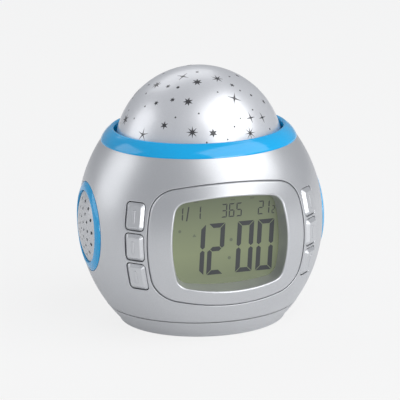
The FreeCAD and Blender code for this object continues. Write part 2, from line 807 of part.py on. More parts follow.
def key_cap(side, sign, row, height, tilt, wing_out):
    """One key: bevelled face that follows the ball, wings that keep it in, and a stem."""
    name = "%s_key_%s" % (side, row)
    angle = size.key_angle * sign
    prism = panel(name + "_prism", size.key_wide / 2, size.key_high / 2, size.key_corner, 12,
                  facing_out(angle, wing_out - 0.5, 0, height))
    face = ball_reach(height) + size.key_proud
    body = new_body(name + "_bevel", (turn("z", angle), move(0, -face, height), turn("x", 90 + tilt)))
    top = sketch_in(body)
    draw_panel(top, size.key_wide / 2 - size.key_bevel, size.key_high / 2 - size.key_bevel, 0.6)
    reach = 9.0
    bottom = sketch_in(body, "XY_Plane", -reach)
    draw_panel(bottom, size.key_wide / 2 - size.key_bevel + reach,
               size.key_high / 2 - size.key_bevel + reach, 0.6 + reach)
    loft = body.newObject("PartDesign::AdditiveLoft", name + "_loft")
    loft.Profile = bottom
    loft.Sections = [top]
    loft.Ruled = True
    cap = common(name + "_cap", [prism, body])
    wing = panel(name + "_wing", size.key_wing, 4.2, 1, 1.0, facing_out(angle, wing_out - 1.0, 0, height))
    stem = rod(name + "_stem", 1.5, wing_out - size.key_stem_end, facing_out(
        angle, size.key_stem_end, 0, height))
    finish(name, fuse(name, [cap, wing, stem]))


def keys():
    """Both key columns with their boards, switches and screws."""
    shape = {"upper": (11.2, 50.1), "middle": (-1.5, 51.8), "lower": (-13.8, 49.5)}
    for side, sign in MIRROR_SIDES:
        angle = size.key_angle * sign
        for row, height in key_rows():
            tilt, wing_out = shape[row]
            key_cap(side, sign, row, height, -tilt, as_size(wing_out))
        back = size.key_board_out - size.board_thick
        board = panel("%s_key_blank" % side, 6.0, 25.6, 1, size.board_thick,
                      facing_out(angle, back, 0.5 * sign, 44.4))
        holes = [rod("key_board_hole", 1.0, 4, facing_out(angle, back - 1, 0, height))
                 for height in KEY_SCREW_HEIGHTS]
        finish("%s_key_board" % side, cut("%s_key_board" % side, board, holes))
        switches = []
        for row, height in key_rows():
            case = panel("switch_case", size.switch_side / 2, size.switch_side / 2, 0.5,
                         size.switch_high, facing_out(angle, size.key_board_out, 0, height))
            button = rod("switch_button", 1.7, size.switch_high + 0.8, facing_out(
                angle, size.key_board_out, 0, height))
            switches.append(fuse("%s_switch_%s" % (side, row), [case, button]))
        finish("%s_key_switches" % side, group("%s_key_switches" % side, switches))
        screws = [small_screw("key_board_screw", 4, facing_out(angle, back, 0, height))
                  for height in KEY_SCREW_HEIGHTS]
        finish("%s_key_screws" % side, group("%s_key_screws" % side, screws))


def speaker_ring(side, sign):
    """Blue ring round a grille: a raised bead that slopes out to the ball."""
    seat = size.speaker_seat
    outer, inner = size.speaker_ring_out, size.speaker_ring_in
    path = [
        (outer - 2.4, -2.0), (outer - 2.4, 0), (outer, 0), (outer, 2.0), (inner + 0.5, 3.5),
        (inner, 3.1), (inner, 1.2), (inner - 1.6, 1.2), (inner - 1.6, -2.0),
    ]
    finish("%s_speaker_ring" % side, revolve(
        "%s_speaker_ring" % side, path, {3: 9.0, 4: 0.45}, speaker_frame(sign, seat)))


GRILLE_RINGS = ((12.8, 14, 0.9), (9.2, 14, 0.78), (5.6, 10, 0.68), (2.2, 5, 0.6))


def speaker_grille(side, sign):
    """Domed grille with rings of round holes."""
    body = new_body("%s_speaker_grille" % side, speaker_frame(sign, 0))
    outer = size.grille_arc
    inner = outer - size.grille_thick
    centre = size.grille_apex - outer
    rim = size.grille_radius
    sketch = sketch_in(body, "XZ_Plane")
    draw(sketch, [
        (rim - 1.0, size.speaker_seat + 1.2), (rim, size.speaker_seat + 1.2),
        (rim, centre + root(outer * outer - rim * rim)), (0, size.grille_apex),
        (0, size.grille_apex - size.grille_thick),
        (rim - 1.0, centre + root(inner * inner - (rim - 1.0) * (rim - 1.0))),
    ], {2: outer, 4: -inner})
    dome = body.newObject("PartDesign::Revolution", body.Name + "_dome")
    dome.Profile = sketch
    dome.ReferenceAxis = (sketch, ["V_Axis"])
    dome.Angle = FULL_TURN
    axis = [item for item in body.Origin.OriginFeatures if item.Role == "Z_Axis"][0]
    for ring, count, radius in GRILLE_RINGS:
        hole_sketch = sketch_in(body, "XY_Plane", 45)
        draw_circle(hole_sketch, ring, 0, radius)
        hole = body.newObject("PartDesign::Pocket", body.Name + "_hole")
        hole.Profile = hole_sketch
        hole.Length = 16
        hole.Reversed = True
        pattern = body.newObject("PartDesign::PolarPattern", body.Name + "_ring")
        pattern.Originals = [hole]
        pattern.Axis = (axis, [""])
        pattern.Angle = FULL_TURN
        pattern.Occurrences = count
        body.Tip = pattern
    finish("%s_speaker_grille" % side, body)


def speaker_driver():
    """Loudspeaker behind the left grille: basket, cone, magnet and its screws."""
    front = size.speaker_seat - 3.6
    frame = speaker_frame(-1, front)
    basket = revolve("basket_pressing", [
        (22.2, 0), (15.6, 0), (15.6, -1.2), (8.4, -8.0), (8.4, -9.4), (9.8, -9.4), (16.6, -2.6),
        (17.6, -1.6), (22.2, -1.6)], None, frame)
    holes = [rod("basket_hole", 1.0, 4, speaker_screw_frame(angle, size.speaker_seat - 6))
             for angle in SPEAKER_SCREW_ANGLES]
    finish("speaker_basket", cut("speaker_basket", basket, holes))
    finish("speaker_cone", revolve("speaker_cone", [
        (15.4, -0.3), (15.4, -1.1), (13.6, -0.7), (5.0, -6.8), (3.0, -5.6), (0, -4.9),
        (0, -4.2), (3.0, -4.9), (5.0, -5.9), (13.6, 0.0)], None, frame))
    finish("speaker_magnet", revolve("speaker_magnet", [
        (0, -8.0), (8.2, -8.0), (8.2, -9.6), (11.0, -9.6), (11.0, -14.6), (9.0, -15.4),
        (0, -15.4)], None, frame))
    screws = [small_screw("speaker_screw", 3.4, speaker_screw_frame(angle, size.speaker_seat - 5.2))
              for angle in SPEAKER_SCREW_ANGLES]
    finish("speaker_screws", group("speaker_screws", screws))


def battery_parts():
    """Door, three cells and their contacts in the base."""
    low = size.base_bottom
    half_long, half_wide = size.door_half_long, size.door_half_wide
    leaf = panel("door_leaf", half_long, half_wide, 1.4, size.door_thick - 0.2, (move(0, 0, low),))
    grips = [box("door_grip", (half_long - 9 - 2.2 * number, -6, low - 0.5), (0.9, 12, 1.0))
             for number in range(3)]
    finish("battery_door", cut("battery_door", leaf, grips))
    half = size.cell_length / 2
    for number, (row, place_y) in enumerate((("front", -1), ("middle", 0), ("rear", 1))):
        sign = 1 if number % 2 else -1
        finish("battery_cell_" + row, revolve("battery_cell_" + row, [
            (0, -half), (size.cell_radius - 0.4, -half), (size.cell_radius, -half + 0.4),
            (size.cell_radius, half - 1.3), (size.cell_radius - 0.4, half - 0.9),
            (1.9, half - 0.9), (1.9, half), (0, half)], None, (
            move(0, size.cell_pitch * place_y, size.cell_axis), turn("y", 90 * sign))))
    springs, plates = [], []
    end = size.door_half_long - 2.4
    for number, (row, place_y) in enumerate((("front", -1), ("middle", 0), ("rear", 1))):
        sign = 1 if number % 2 else -1
        springs.append(revolve("cell_spring_" + row, [
            (3.4, 0.4), (3.9, 0.4), (2.9, 1.9), (2.4, 1.9)], None, (
            move(end * -sign, size.cell_pitch * place_y, size.cell_axis), turn("y", 90 * sign))))
        for side in (-1, 1):
            plates.append(panel("cell_plate_" + row, 4.3, 4.3, 0.8, 0.4, (
                move(end * side, size.cell_pitch * place_y, size.cell_axis), turn("y", -90 * side))))
    finish("battery_springs", group("battery_springs", springs))
    finish("battery_contacts", group("battery_contacts", plates))


def check_and_write():
    """Stop if anything failed, then write one STEP file for each sub-part."""
    doc.recompute()
    for item in doc.Objects:
        if "Invalid" in item.State or "Error" in item.State:
            raise RuntimeError("%s failed: %s" % (item.Name, item.State))
    os.makedirs("parts", exist_ok=True)
    for item in parts:
        shape = item.Shape
        if shape.isNull() or not shape.isValid() or not shape.Solids:
            raise RuntimeError("%s has no valid solid" % item.Label)
        shape.exportStep("parts/%s.step" % item.Label)
        print("%-22s %d solid(s) %9.1f mm3" % (item.Label, len(shape.Solids), shape.Volume))
    print(len(parts), "sub-parts")


body_shell()
base_cup()
rubber_feet()
base_screws()
collar_ring()
star_dome()
dome_carrier()
inner_deck()
dome_springs()
projector_parts()
front_bezel()
display_stack()
keys()
for side_name, side_sign in MIRROR_SIDES:
    speaker_ring(side_name, side_sign)
    speaker_grille(side_name, side_sign)
speaker_driver()
battery_parts()
check_and_write()
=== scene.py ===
import json
import math

import bpy
import numpy as np
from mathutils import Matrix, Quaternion, Vector
from mathutils.geometry import delaunay_2d_cdt


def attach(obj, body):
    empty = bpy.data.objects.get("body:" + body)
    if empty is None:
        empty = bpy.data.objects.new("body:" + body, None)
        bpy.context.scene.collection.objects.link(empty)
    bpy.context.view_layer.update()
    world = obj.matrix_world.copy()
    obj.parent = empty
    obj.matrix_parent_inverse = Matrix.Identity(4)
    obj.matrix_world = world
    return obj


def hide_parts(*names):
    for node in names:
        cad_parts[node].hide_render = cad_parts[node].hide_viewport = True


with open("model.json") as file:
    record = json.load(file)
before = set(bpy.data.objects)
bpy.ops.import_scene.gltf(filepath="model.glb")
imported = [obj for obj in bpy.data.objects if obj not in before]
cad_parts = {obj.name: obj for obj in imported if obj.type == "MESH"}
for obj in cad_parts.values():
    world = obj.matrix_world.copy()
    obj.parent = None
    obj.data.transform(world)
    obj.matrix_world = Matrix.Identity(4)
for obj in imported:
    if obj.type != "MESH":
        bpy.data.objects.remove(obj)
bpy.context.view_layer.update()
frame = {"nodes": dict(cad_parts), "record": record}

# All shapes below are worked out in millimetres and put into the meshes in metres.
METRE = 0.001
WELD = 1e-5
BALL_RADIUS, BALL_ARC, BALL_MIDDLE, WALL = 55.7, 65.5, 46.0, 2.4
SEAM, SHOULDER = 8.0, 82.9
DOME_RADIUS, DOME_MIDDLE, DOME_RIM, DOME_WALL = 38.2, 77.3, 84.0, 1.6
GLASS_FRONT = 41.0
KEY_ANGLE, KEY_MIDDLE, KEY_PITCH = 47.4, 44.4, 13.7
SPEAKER_SEAT, SPEAKER_HOLE = 50.2, 20.35
SIDES = (("left", -1), ("right", 1))
# Cushion outlines on the front: half width, half height, bulge of the sides, bulge of top and
# bottom, corner radius, height of the middle
SURROUND = (36.0, 27.7, 1.6, 2.2, 11.0, 45.2)
RECESS = (36.25, 27.95, 1.6, 2.2, 11.2, 45.2)
WELL_MOUTH = (28.4, 21.75, 1.5, 1.6, 5.0, 45.7)
WELL_WINDOW = (24.4, 20.4, 1.5, 1.6, 5.0, 45.7)
RECESS_DEPTH, RECESS_LEDGE = 1.3, 2.95
# Key slot: half width, half height, corner radius
KEY_SLOT = (5.05, 6.35, 2.05)


# Small vector helpers
def unit(vectors):
    """Each row divided by its own length."""
    return vectors / np.linalg.norm(vectors, axis=-1, keepdims=True)


def mix(a, b, share):
    """Straight line blend from a to b."""
    return a + (b - a) * share


class Skin:
    """One surface: strips of points with their own normals, welded when it is made."""

    def __init__(self):
        self.points, self.normals, self.faces, self.count = [], [], [], 0

    def add(self, points, normals):
        """Keep points with their normals; gives their numbers."""
        start = self.count
        self.points.append(np.asarray(points, float))
        self.normals.append(np.broadcast_to(normals, self.points[-1].shape))
        self.count += len(self.points[-1])
        return np.arange(start, self.count)

    def quads(self, grid, around=True):
        """Two triangles for each cell of a grid of point numbers; around closes each row."""
        if around:
            grid = np.hstack([grid, grid[:, :1]])
        a, b, c, d = grid[:-1, :-1], grid[:-1, 1:], grid[1:, 1:], grid[1:, :-1]
        self.faces.append(np.stack([a, b, c], -1).reshape(-1, 3))
        self.faces.append(np.stack([a, c, d], -1).reshape(-1, 3))

    def strip(self, rings, around=True):
        """Join rings, each a pair of points and normals, one after the other."""
        self.quads(np.array([self.add(*ring) for ring in rings]), around)

    def cap(self, ring, middle, normal):
        """Close a ring with a fan of triangles to a middle point."""
        numbers = self.add(ring, normal)
        centre = self.add(np.array([middle]), normal)
        after = np.roll(numbers, -1)
        self.faces.append(np.stack([numbers, after, np.full_like(numbers, centre[0])], -1))

    def make(self, name, material, slot, body="housing", replaces=()):
        """Weld equal points, turn each face to its normals and make the object."""
        points, normals = np.vstack(self.points), unit(np.vstack(self.normals))
        faces = np.vstack(self.faces)
        rounded = np.round(points / WELD).astype(np.int64)
        _, first, welded = np.unique(rounded, axis=0, return_index=True, return_inverse=True)
        welded = welded.reshape(-1)
        corners = welded[faces]
        whole = (corners[:, 0] != corners[:, 1]) & (corners[:, 1] != corners[:, 2])
        whole &= corners[:, 0] != corners[:, 2]
        faces, corners = faces[whole], corners[whole]
        places = points[first]
        sides = places[corners]
        way = np.cross(sides[:, 1] - sides[:, 0], sides[:, 2] - sides[:, 0])
        wrong = (way * normals[faces].sum(1)).sum(1) < 0
        faces[wrong], corners[wrong] = faces[wrong][:, ::-1], corners[wrong][:, ::-1]
        mesh = bpy.data.meshes.new(name)
        mesh.from_pydata((places * METRE).tolist(), [], corners.tolist())
        mesh.shade_smooth()
        mesh.normals_split_custom_set(normals[faces.reshape(-1)].tolist())
        obj = bpy.data.objects.new(name, mesh)
        bpy.context.scene.collection.objects.link(obj)
        mesh.materials.append(material)
        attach(obj, body)
        if replaces:
            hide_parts(*replaces)


# Ball and frames that look outwards
def ball_reach(height, inset=0.0):
    """Radius of the ball at a height: an arc whose centre lies behind the axis."""
    arc = BALL_ARC - inset
    return BALL_RADIUS - BALL_ARC + np.sqrt(arc ** 2 - (height - BALL_MIDDLE) ** 2)


def ball_normal(points):
    """Outward normal of the ball: away from the arc's centre in the point's upright plane."""
    reach = np.hypot(points[..., 0], points[..., 1])
    scale = (reach + BALL_ARC - BALL_RADIUS) / reach
    return unit(np.stack([points[..., 0] * scale, points[..., 1] * scale,
                          points[..., 2] - BALL_MIDDLE], -1))


class Outlook:
    """Upright plane turned from the front: across to the viewer's right, up, and out."""

    def __init__(self, degrees):
        angle = math.radians(degrees)
        self.angle = angle
        self.across = np.array([math.cos(angle), math.sin(angle), 0.0])
        self.out = np.array([math.sin(angle), -math.cos(angle), 0.0])

    def at(self, across, up, out):
        """Points from their distances across, up and out."""
        across, up, out = np.broadcast_arrays(across, up, out)
        flat = across[..., None] * self.across + out[..., None] * self.out
        return flat + up[..., None] * np.array([0.0, 0.0, 1.0])

    def way(self, across, up):
        """Directions in the plane."""
        return across[..., None] * self.across + up[..., None] * np.array([0.0, 0.0, 1.0])

    def on_ball(self, flat, inset=0.0):
        """Points of the ball's skin in front of flat points (across, up)."""
        reach = ball_reach(flat[:, 1], inset)
        return self.at(flat[:, 0], flat[:, 1], np.sqrt(reach ** 2 - flat[:, 0] ** 2))


# Outlines, each a loop of flat points that runs against the clock
def arc_between(start, end, radius, count):
    """Points of an arc that bulges to the right of its way, without its last point."""
    start, end = np.array(start, float), np.array(end, float)
    chord = end - start
    length = np.hypot(*chord)
    left = np.array([-chord[1], chord[0]]) / length
    reach = math.sqrt(max(radius ** 2 - (length / 2) ** 2, 0.0))
    centre = (start + end) / 2 + left * reach
    first = math.atan2(*(start - centre)[::-1])
    last = math.atan2(*(end - centre)[::-1])
    last += math.tau if last < first else 0.0
    angle = np.linspace(first, last, count, endpoint=False)
    return centre + radius * np.stack([np.cos(angle), np.sin(angle)], -1)


def cushion(half_wide, half_high, side_bulge, top_bulge, corner, middle, count=18):
    """Rectangle with four bulging sides, each a shallow arc, and round corners."""
    flat_x, flat_y = half_wide - side_bulge - corner, half_high - top_bulge - corner
    edge_x, edge_y = half_wide - side_bulge, half_high - top_bulge
    side_arc = (flat_y ** 2 + side_bulge ** 2) / (side_bulge * 2)
    top_arc = (flat_x ** 2 + top_bulge ** 2) / (top_bulge * 2)
    path = [(-flat_x, -edge_y), (flat_x, -edge_y), (edge_x, -flat_y), (edge_x, flat_y),
            (flat_x, edge_y), (-flat_x, edge_y), (-edge_x, flat_y), (-edge_x, -flat_y)]
    radii = (top_arc, corner * 1.22, side_arc, corner * 1.22) * 2
    arcs = [arc_between(path[side], path[(side + 1) % 8], radii[side], count)
            for side in range(8)]
    return np.vstack(arcs) + (0.0, middle)


def panel(half_wide, half_high, corner, middle, count=6):
    """Rectangle with round corners; its straight sides are divided too."""
    angle = np.linspace(0, math.pi / 2, count)
    side = np.linspace(0, 1, count + 2)[1:-1, None]
    corners = []
    for turns, (x, y) in enumerate(((1, 1), (-1, 1), (-1, -1), (1, -1))):
        swing = angle + turns * math.pi / 2
        centre = np.array([x * (half_wide - corner), y * (half_high - corner)])
        corners.append(centre + corner * np.stack([np.cos(swing), np.sin(swing)], -1))
    loop = []
    for turns in range(4):
        loop += [corners[turns], mix(corners[turns][-1], corners[(turns + 1) % 4][0], side)]
    return np.vstack(loop) + (0.0, middle)


def circle(radius, count, middle=0.0, start=0.0):
    """Round outline."""
    angle = start + np.arange(count) * math.tau / count
    return np.stack([radius * np.cos(angle), middle + radius * np.sin(angle)], -1)


def outline_normals(loop):
    """Outward directions of a loop, square to the line between each point's neighbours."""
    along = np.roll(loop, -1, 0) - np.roll(loop, 1, 0)
    return unit(np.stack([along[:, 1], -along[:, 0]], -1))


def rounded_edge(corner, along, down, face, wall, radius, steps=6):
    """Rings of a rounded edge: from one face, at a radius from the corner, to the other."""
    rings = []
    for angle in np.linspace(0, math.pi / 2, steps):
        place = corner + along * radius * (1 - math.sin(angle))
        place = place + down * radius * (1 - math.cos(angle))
        rings.append((place, unit(face * math.cos(angle) + wall * math.sin(angle))))
    return rings


# Triangles between an outer frame and any number of holes
def in_loop(points, loop):
    """Which flat points lie inside a loop: they cross its line an odd number of times."""
    x, y = points[:, :1], points[:, 1:]
    x0, y0 = loop[:, 0], loop[:, 1]
    x1, y1 = np.roll(x0, -1), np.roll(y0, -1)
    cross = (y0 > y) != (y1 > y)
    with np.errstate(divide="ignore", invalid="ignore"):
        reach = (x1 - x0) * (y - y0) / (y1 - y0) + x0
    return ((cross & (x < reach)).sum(1) % 2) == 1


def web(fixed, loose, holes, clear):
    """Triangles over fixed and loose flat points that leave the holes open.

    Loose points in a hole, or closer to its line than clear, are left out.
    """
    keep = np.ones(len(loose), bool)
    for hole in holes:
        near = np.linalg.norm(loose[:, None] - hole[None], axis=-1).min(1) < clear
        keep &= ~(in_loop(loose, hole) | near)
    loose = loose[keep]
    points = np.vstack([fixed, loose] + list(holes))
    edges, starts = [], []
    start = len(fixed) + len(loose)
    for hole in holes:
        numbers = np.arange(start, start + len(hole))
        edges.append(np.stack([numbers, np.roll(numbers, -1)], -1))
        starts.append(numbers)
        start += len(hole)
    found = delaunay_2d_cdt(points.tolist(), np.vstack(edges).tolist(), [], 0, 1e-7, True)
    source = np.array([numbers[0] for numbers in found[3]])
    faces = source[np.array(found[2])]
    middle = points[faces].mean(1)
    open_face = np.zeros(len(faces), bool)
    for hole in holes:
        open_face |= in_loop(middle, hole)
    return points, faces[~open_face], starts


# Materials
def node_tree(material):
    """Clear a material and give its nodes, links and Principled shader."""
    material.use_nodes = True
    tree = material.node_tree
    tree.nodes.clear()
    output = tree.nodes.new("ShaderNodeOutputMaterial")
    shader = tree.nodes.new("ShaderNodeBsdfPrincipled")
    tree.links.new(shader.outputs[0], output.inputs[0])
    return tree, shader


def new_group(name, inputs, outputs):
    """Start a shader node group with named inputs and outputs."""
    group = bpy.data.node_groups.new(name, "ShaderNodeTree")
    for title, kind, value in inputs:
        socket = group.interface.new_socket(title, in_out="INPUT", socket_type=kind)
        socket.default_value = value
    for title, kind in outputs:
        group.interface.new_socket(title, in_out="OUTPUT", socket_type=kind)
    enter = group.nodes.new("NodeGroupInput")
    leave = group.nodes.new("NodeGroupOutput")
    return group, enter, leave


def paint_flakes_group():
    """Flakes of a metallic paint: fine cells, each with its own shade and a small tilt."""
    group, enter, leave = new_group("paint_flakes", [
        ("Scale", "NodeSocketFloat", 4000.0), ("Tilt", "NodeSocketFloat", 0.1),
        ("Mottle", "NodeSocketFloat", 0.05), ("Colour", "NodeSocketColor", (0.6, 0.6, 0.6, 1)),
    ], [("Colour", "NodeSocketColor"), ("Roughness", "NodeSocketFloat"),
        ("Normal", "NodeSocketVector")])
    nodes, links = group.nodes, group.links
    place = nodes.new("ShaderNodeTexCoord")
    cells = nodes.new("ShaderNodeTexVoronoi")
    cloud = nodes.new("ShaderNodeTexNoise")
    cloud.inputs["Scale"].default_value = 60.0
    cloud.inputs["Detail"].default_value = 3.0
    links.new(place.outputs["Object"], cells.inputs["Vector"])
    links.new(place.outputs["Object"], cloud.inputs["Vector"])
    links.new(enter.outputs["Scale"], cells.inputs["Scale"])
    shade = nodes.new("ShaderNodeSeparateColor")
    links.new(cells.outputs["Color"], shade.inputs[0])
    spread = nodes.new("ShaderNodeMath")
    spread.operation = "MULTIPLY_ADD"
    links.new(shade.outputs[0], spread.inputs[0])
    links.new(enter.outputs["Mottle"], spread.inputs[1])
    spread.inputs[2].default_value = 1.0
    tone = nodes.new("ShaderNodeVectorMath")
    tone.operation = "SCALE"
    links.new(enter.outputs["Colour"], tone.inputs[0])
    links.new(spread.outputs[0], tone.inputs["Scale"])
    links.new(tone.outputs[0], leave.inputs["Colour"])
    rough = nodes.new("ShaderNodeMapRange")
    rough.inputs["To Min"].default_value = 0.30
    rough.inputs["To Max"].default_value = 0.42
    links.new(cloud.outputs[0], rough.inputs["Value"])
    links.new(rough.outputs[0], leave.inputs["Roughness"])
    bump = nodes.new("ShaderNodeBump")
    bump.inputs["Distance"].default_value = 0.00003
    links.new(enter.outputs["Tilt"], bump.inputs["Strength"])
    links.new(shade.outputs[1], bump.inputs["Height"])
    links.new(bump.outputs[0], leave.inputs["Normal"])
    return group


def moulding_group():
    """Moulded surface: soft waviness and fine dust as a height, and a slight cloud of gloss."""
    group, enter, leave = new_group("moulding", [
        ("Wave", "NodeSocketFloat", 0.1), ("Low", "NodeSocketFloat", 0.3),
        ("High", "NodeSocketFloat", 0.4),
    ], [("Roughness", "NodeSocketFloat"), ("Normal", "NodeSocketVector")])
    nodes, links = group.nodes, group.links
    place = nodes.new("ShaderNodeTexCoord")
    wave = nodes.new("ShaderNodeTexNoise")
    wave.inputs["Scale"].default_value = 900.0
    wave.inputs["Detail"].default_value = 2.0
    cloud = nodes.new("ShaderNodeTexNoise")
    cloud.inputs["Scale"].default_value = 90.0
    links.new(place.outputs["Object"], wave.inputs["Vector"])
    links.new(place.outputs["Object"], cloud.inputs["Vector"])
    gloss = nodes.new("ShaderNodeMapRange")
    links.new(cloud.outputs[0], gloss.inputs["Value"])
    links.new(enter.outputs["Low"], gloss.inputs["To Min"])
    links.new(enter.outputs["High"], gloss.inputs["To Max"])
    links.new(gloss.outputs[0], leave.inputs["Roughness"])
    bump = nodes.new("ShaderNodeBump")
    bump.inputs["Distance"].default_value = 0.00005
    links.new(enter.outputs["Wave"], bump.inputs["Strength"])
    links.new(wave.outputs[0], bump.inputs["Height"])
    links.new(bump.outputs[0], leave.inputs["Normal"])
    return group


FLAKES = paint_flakes_group()
MOULDING = moulding_group()


def flake_paint(name, colour, metallic, tilt, mottle, coat, scale=4000.0):
    """Metallic paint under a clear coat."""
    material = bpy.data.materials.new(name)
    tree, shader = node_tree(material)
    flakes = tree.nodes.new("ShaderNodeGroup")
    flakes.node_tree = FLAKES
    flakes.inputs["Scale"].default_value = scale
    flakes.inputs["Tilt"].default_value = tilt
    flakes.inputs["Mottle"].default_value = mottle
    flakes.inputs["Colour"].default_value = (*colour, 1)
    tree.links.new(flakes.outputs["Colour"], shader.inputs["Base Color"])
    tree.links.new(flakes.outputs["Roughness"], shader.inputs["Roughness"])
    tree.links.new(flakes.outputs["Normal"], shader.inputs["Normal"])
    shader.inputs["Metallic"].default_value = metallic
    shader.inputs["Coat Weight"].default_value = coat
    shader.inputs["Coat Roughness"].default_value = 0.03
    return material


def moulded(name, colour, low, high, wave=0.1, metallic=0.0, coat=0.0):
    """Plain moulded, cast or rolled finish."""
    material = bpy.data.materials.new(name)
    tree, shader = node_tree(material)
    surface = tree.nodes.new("ShaderNodeGroup")
    surface.node_tree = MOULDING
    surface.inputs["Wave"].default_value = wave
    surface.inputs["Low"].default_value = low
    surface.inputs["High"].default_value = high
    tree.links.new(surface.outputs["Roughness"], shader.inputs["Roughness"])
    tree.links.new(surface.outputs["Normal"], shader.inputs["Normal"])
    shader.inputs["Base Color"].default_value = (*colour, 1)
    shader.inputs["Metallic"].default_value = metallic
    shader.inputs["Coat Weight"].default_value = coat
    shader.inputs["Coat Roughness"].default_value = 0.04
    return material


def display_shaded_ground():
    """Olive ground of the display, with painted shade: palest a third of the way up, a little
    darker at its foot and darkest above, where the well would shade the glass."""
    ground_foot, ground_top, palest = 0.024, 0.068, 0.35
    material = bpy.data.materials.new("display_shaded_ground")
    tree, shader = node_tree(material)
    nodes, links = tree.nodes, tree.links
    place = nodes.new("ShaderNodeTexCoord")
    split = nodes.new("ShaderNodeSeparateXYZ")
    links.new(place.outputs["Object"], split.inputs[0])
    rise = nodes.new("ShaderNodeMapRange")
    rise.inputs["From Min"].default_value = ground_foot
    rise.inputs["From Max"].default_value = ground_top
    links.new(split.outputs["Z"], rise.inputs["Value"])
    # Painted shade: the ramp's foot and top colours are darker than its pale middle band.
    ramp = nodes.new("ShaderNodeValToRGB")
    ramp.color_ramp.elements[0].color = (0.198, 0.226, 0.140, 1)
    ramp.color_ramp.elements[1].color = (0.176, 0.204, 0.132, 1)
    lit_band = ramp.color_ramp.elements.new(palest)
    lit_band.color = (0.243, 0.275, 0.163, 1)
    links.new(rise.outputs[0], ramp.inputs[0])
    links.new(ramp.outputs[0], shader.inputs["Base Color"])
    shader.inputs["Roughness"].default_value = 0.28
    shader.inputs["Specular IOR Level"].default_value = 0.35
    return material


silver = flake_paint("silver_paint", (0.62, 0.63, 0.65), 0.75, 0.10, 0.05, 0.0)
key_silver = flake_paint("key_silver", (0.64, 0.65, 0.67), 0.75, 0.08, 0.04, 0.0)
dome_silver = flake_paint("dome_silver", (0.76, 0.77, 0.80), 0.6, 0.10, 0.05, 0.5)
blue = moulded("blue_gloss", (0.0, 0.40, 0.80), 0.12, 0.18, 0.02, 0.0, 0.25)
star_dark = moulded("star_window", (0.045, 0.045, 0.05), 0.2, 0.3, 0.02, 0.0, 0.5)
display_mark = moulded("display_mark", (0.040, 0.044, 0.047), 0.3, 0.4, 0.02)
display_faint = moulded("display_faint", (0.13, 0.15, 0.10), 0.3, 0.4, 0.02)
display = display_shaded_ground()
slots = {
    "silver_paint": silver, "key_silver": key_silver, "blue_gloss": blue,
    "dome_silver": dome_silver, "display_glass": display,
    "white_plastic": moulded("white_plastic", (0.78, 0.78, 0.76), 0.4, 0.5),
    "black_plastic": moulded("black_plastic", (0.02, 0.02, 0.022), 0.4, 0.5),
    "lamp_clear": moulded("lamp_clear", (0.75, 0.78, 0.82), 0.08, 0.12, 0.02, 0.0, 0.5),
    "board_green": moulded("board_green", (0.02, 0.16, 0.06), 0.3, 0.4),
    "contact_rubber": moulded("contact_rubber", (0.12, 0.12, 0.13), 0.6, 0.75, 0.3),
    "foot_rubber": moulded("foot_rubber", (0.03, 0.03, 0.03), 0.65, 0.8, 0.4),
    "spring_steel": moulded("spring_steel", (0.55, 0.55, 0.53), 0.25, 0.35, 0.05, 1.0),
    "screw_steel": moulded("screw_steel", (0.50, 0.50, 0.51), 0.25, 0.4, 0.1, 1.0),
    "cone_paper": moulded("cone_paper", (0.025, 0.025, 0.025), 0.75, 0.9, 0.6),
    "magnet_iron": moulded("magnet_iron", (0.10, 0.10, 0.11), 0.5, 0.6, 0.3, 0.6),
    "cell_wrap": moulded("cell_wrap", (0.06, 0.065, 0.07), 0.2, 0.3, 0.05, 0.0, 0.3),
}


def dress_frame():
    """Give each node of the frame the finish of its own slot."""
    by_node = {entry["node"]: entry["material_slot"] for entry in frame["record"]["subparts"]}
    for name, obj in frame["nodes"].items():
        for place in obj.material_slots:
            place.material = slots[by_node[name]]


# Housing
class Hole:
    """An opening in the ball: where it looks, its flat outline and its edge's rounding."""

    def __init__(self, degrees, loop, edge, ledge=None):
        self.view = Outlook(degrees)
        self.loop = loop
        normals = outline_normals(loop)
        self.away = self.view.way(normals[:, 0], normals[:, 1])
        mouth = self.view.on_ball(loop + normals * edge)
        corner = self.view.on_ball(loop)
        self.rings = rounded_edge(corner, (mouth - corner) / edge, -self.view.out,
                                  ball_normal(mouth), -self.away, edge)
        if ledge:
            depth, width = ledge
            inner = loop - normals * width
            lip, foot = self.view.on_ball(loop, depth), self.view.on_ball(inner, depth)
            self.rings += [(lip, -self.away), (lip, ball_normal(lip)), (foot, ball_normal(foot)),
                           (foot, -self.away)]
            loop = inner
        self.rings.append((self.view.on_ball(loop, WALL), -self.away))

    def unrolled(self, points):
        """Points of the ball as arc length round the axis, and height."""
        side = points @ self.view.across
        out = points @ self.view.out
        angle = self.view.angle + np.arctan2(side, out)
        return np.stack([angle * BALL_RADIUS, points[:, 2]], -1)


def body_holes():
    """Recess of the display surround, six key slots and two speaker seats."""
    front_edge, key_edge, speaker_edge = 0.5, 0.35, 0.4
    holes = [Hole(0, cushion(*RECESS), front_edge, (RECESS_DEPTH, RECESS_LEDGE))]
    for _, sign in SIDES:
        for row in (-1, 0, 1):
            slot = panel(*KEY_SLOT, KEY_MIDDLE + KEY_PITCH * row)
            holes.append(Hole(KEY_ANGLE * sign, slot, key_edge))
        holes.append(Hole(90 * sign, circle(SPEAKER_HOLE, 96, BALL_MIDDLE), speaker_edge))
    return holes


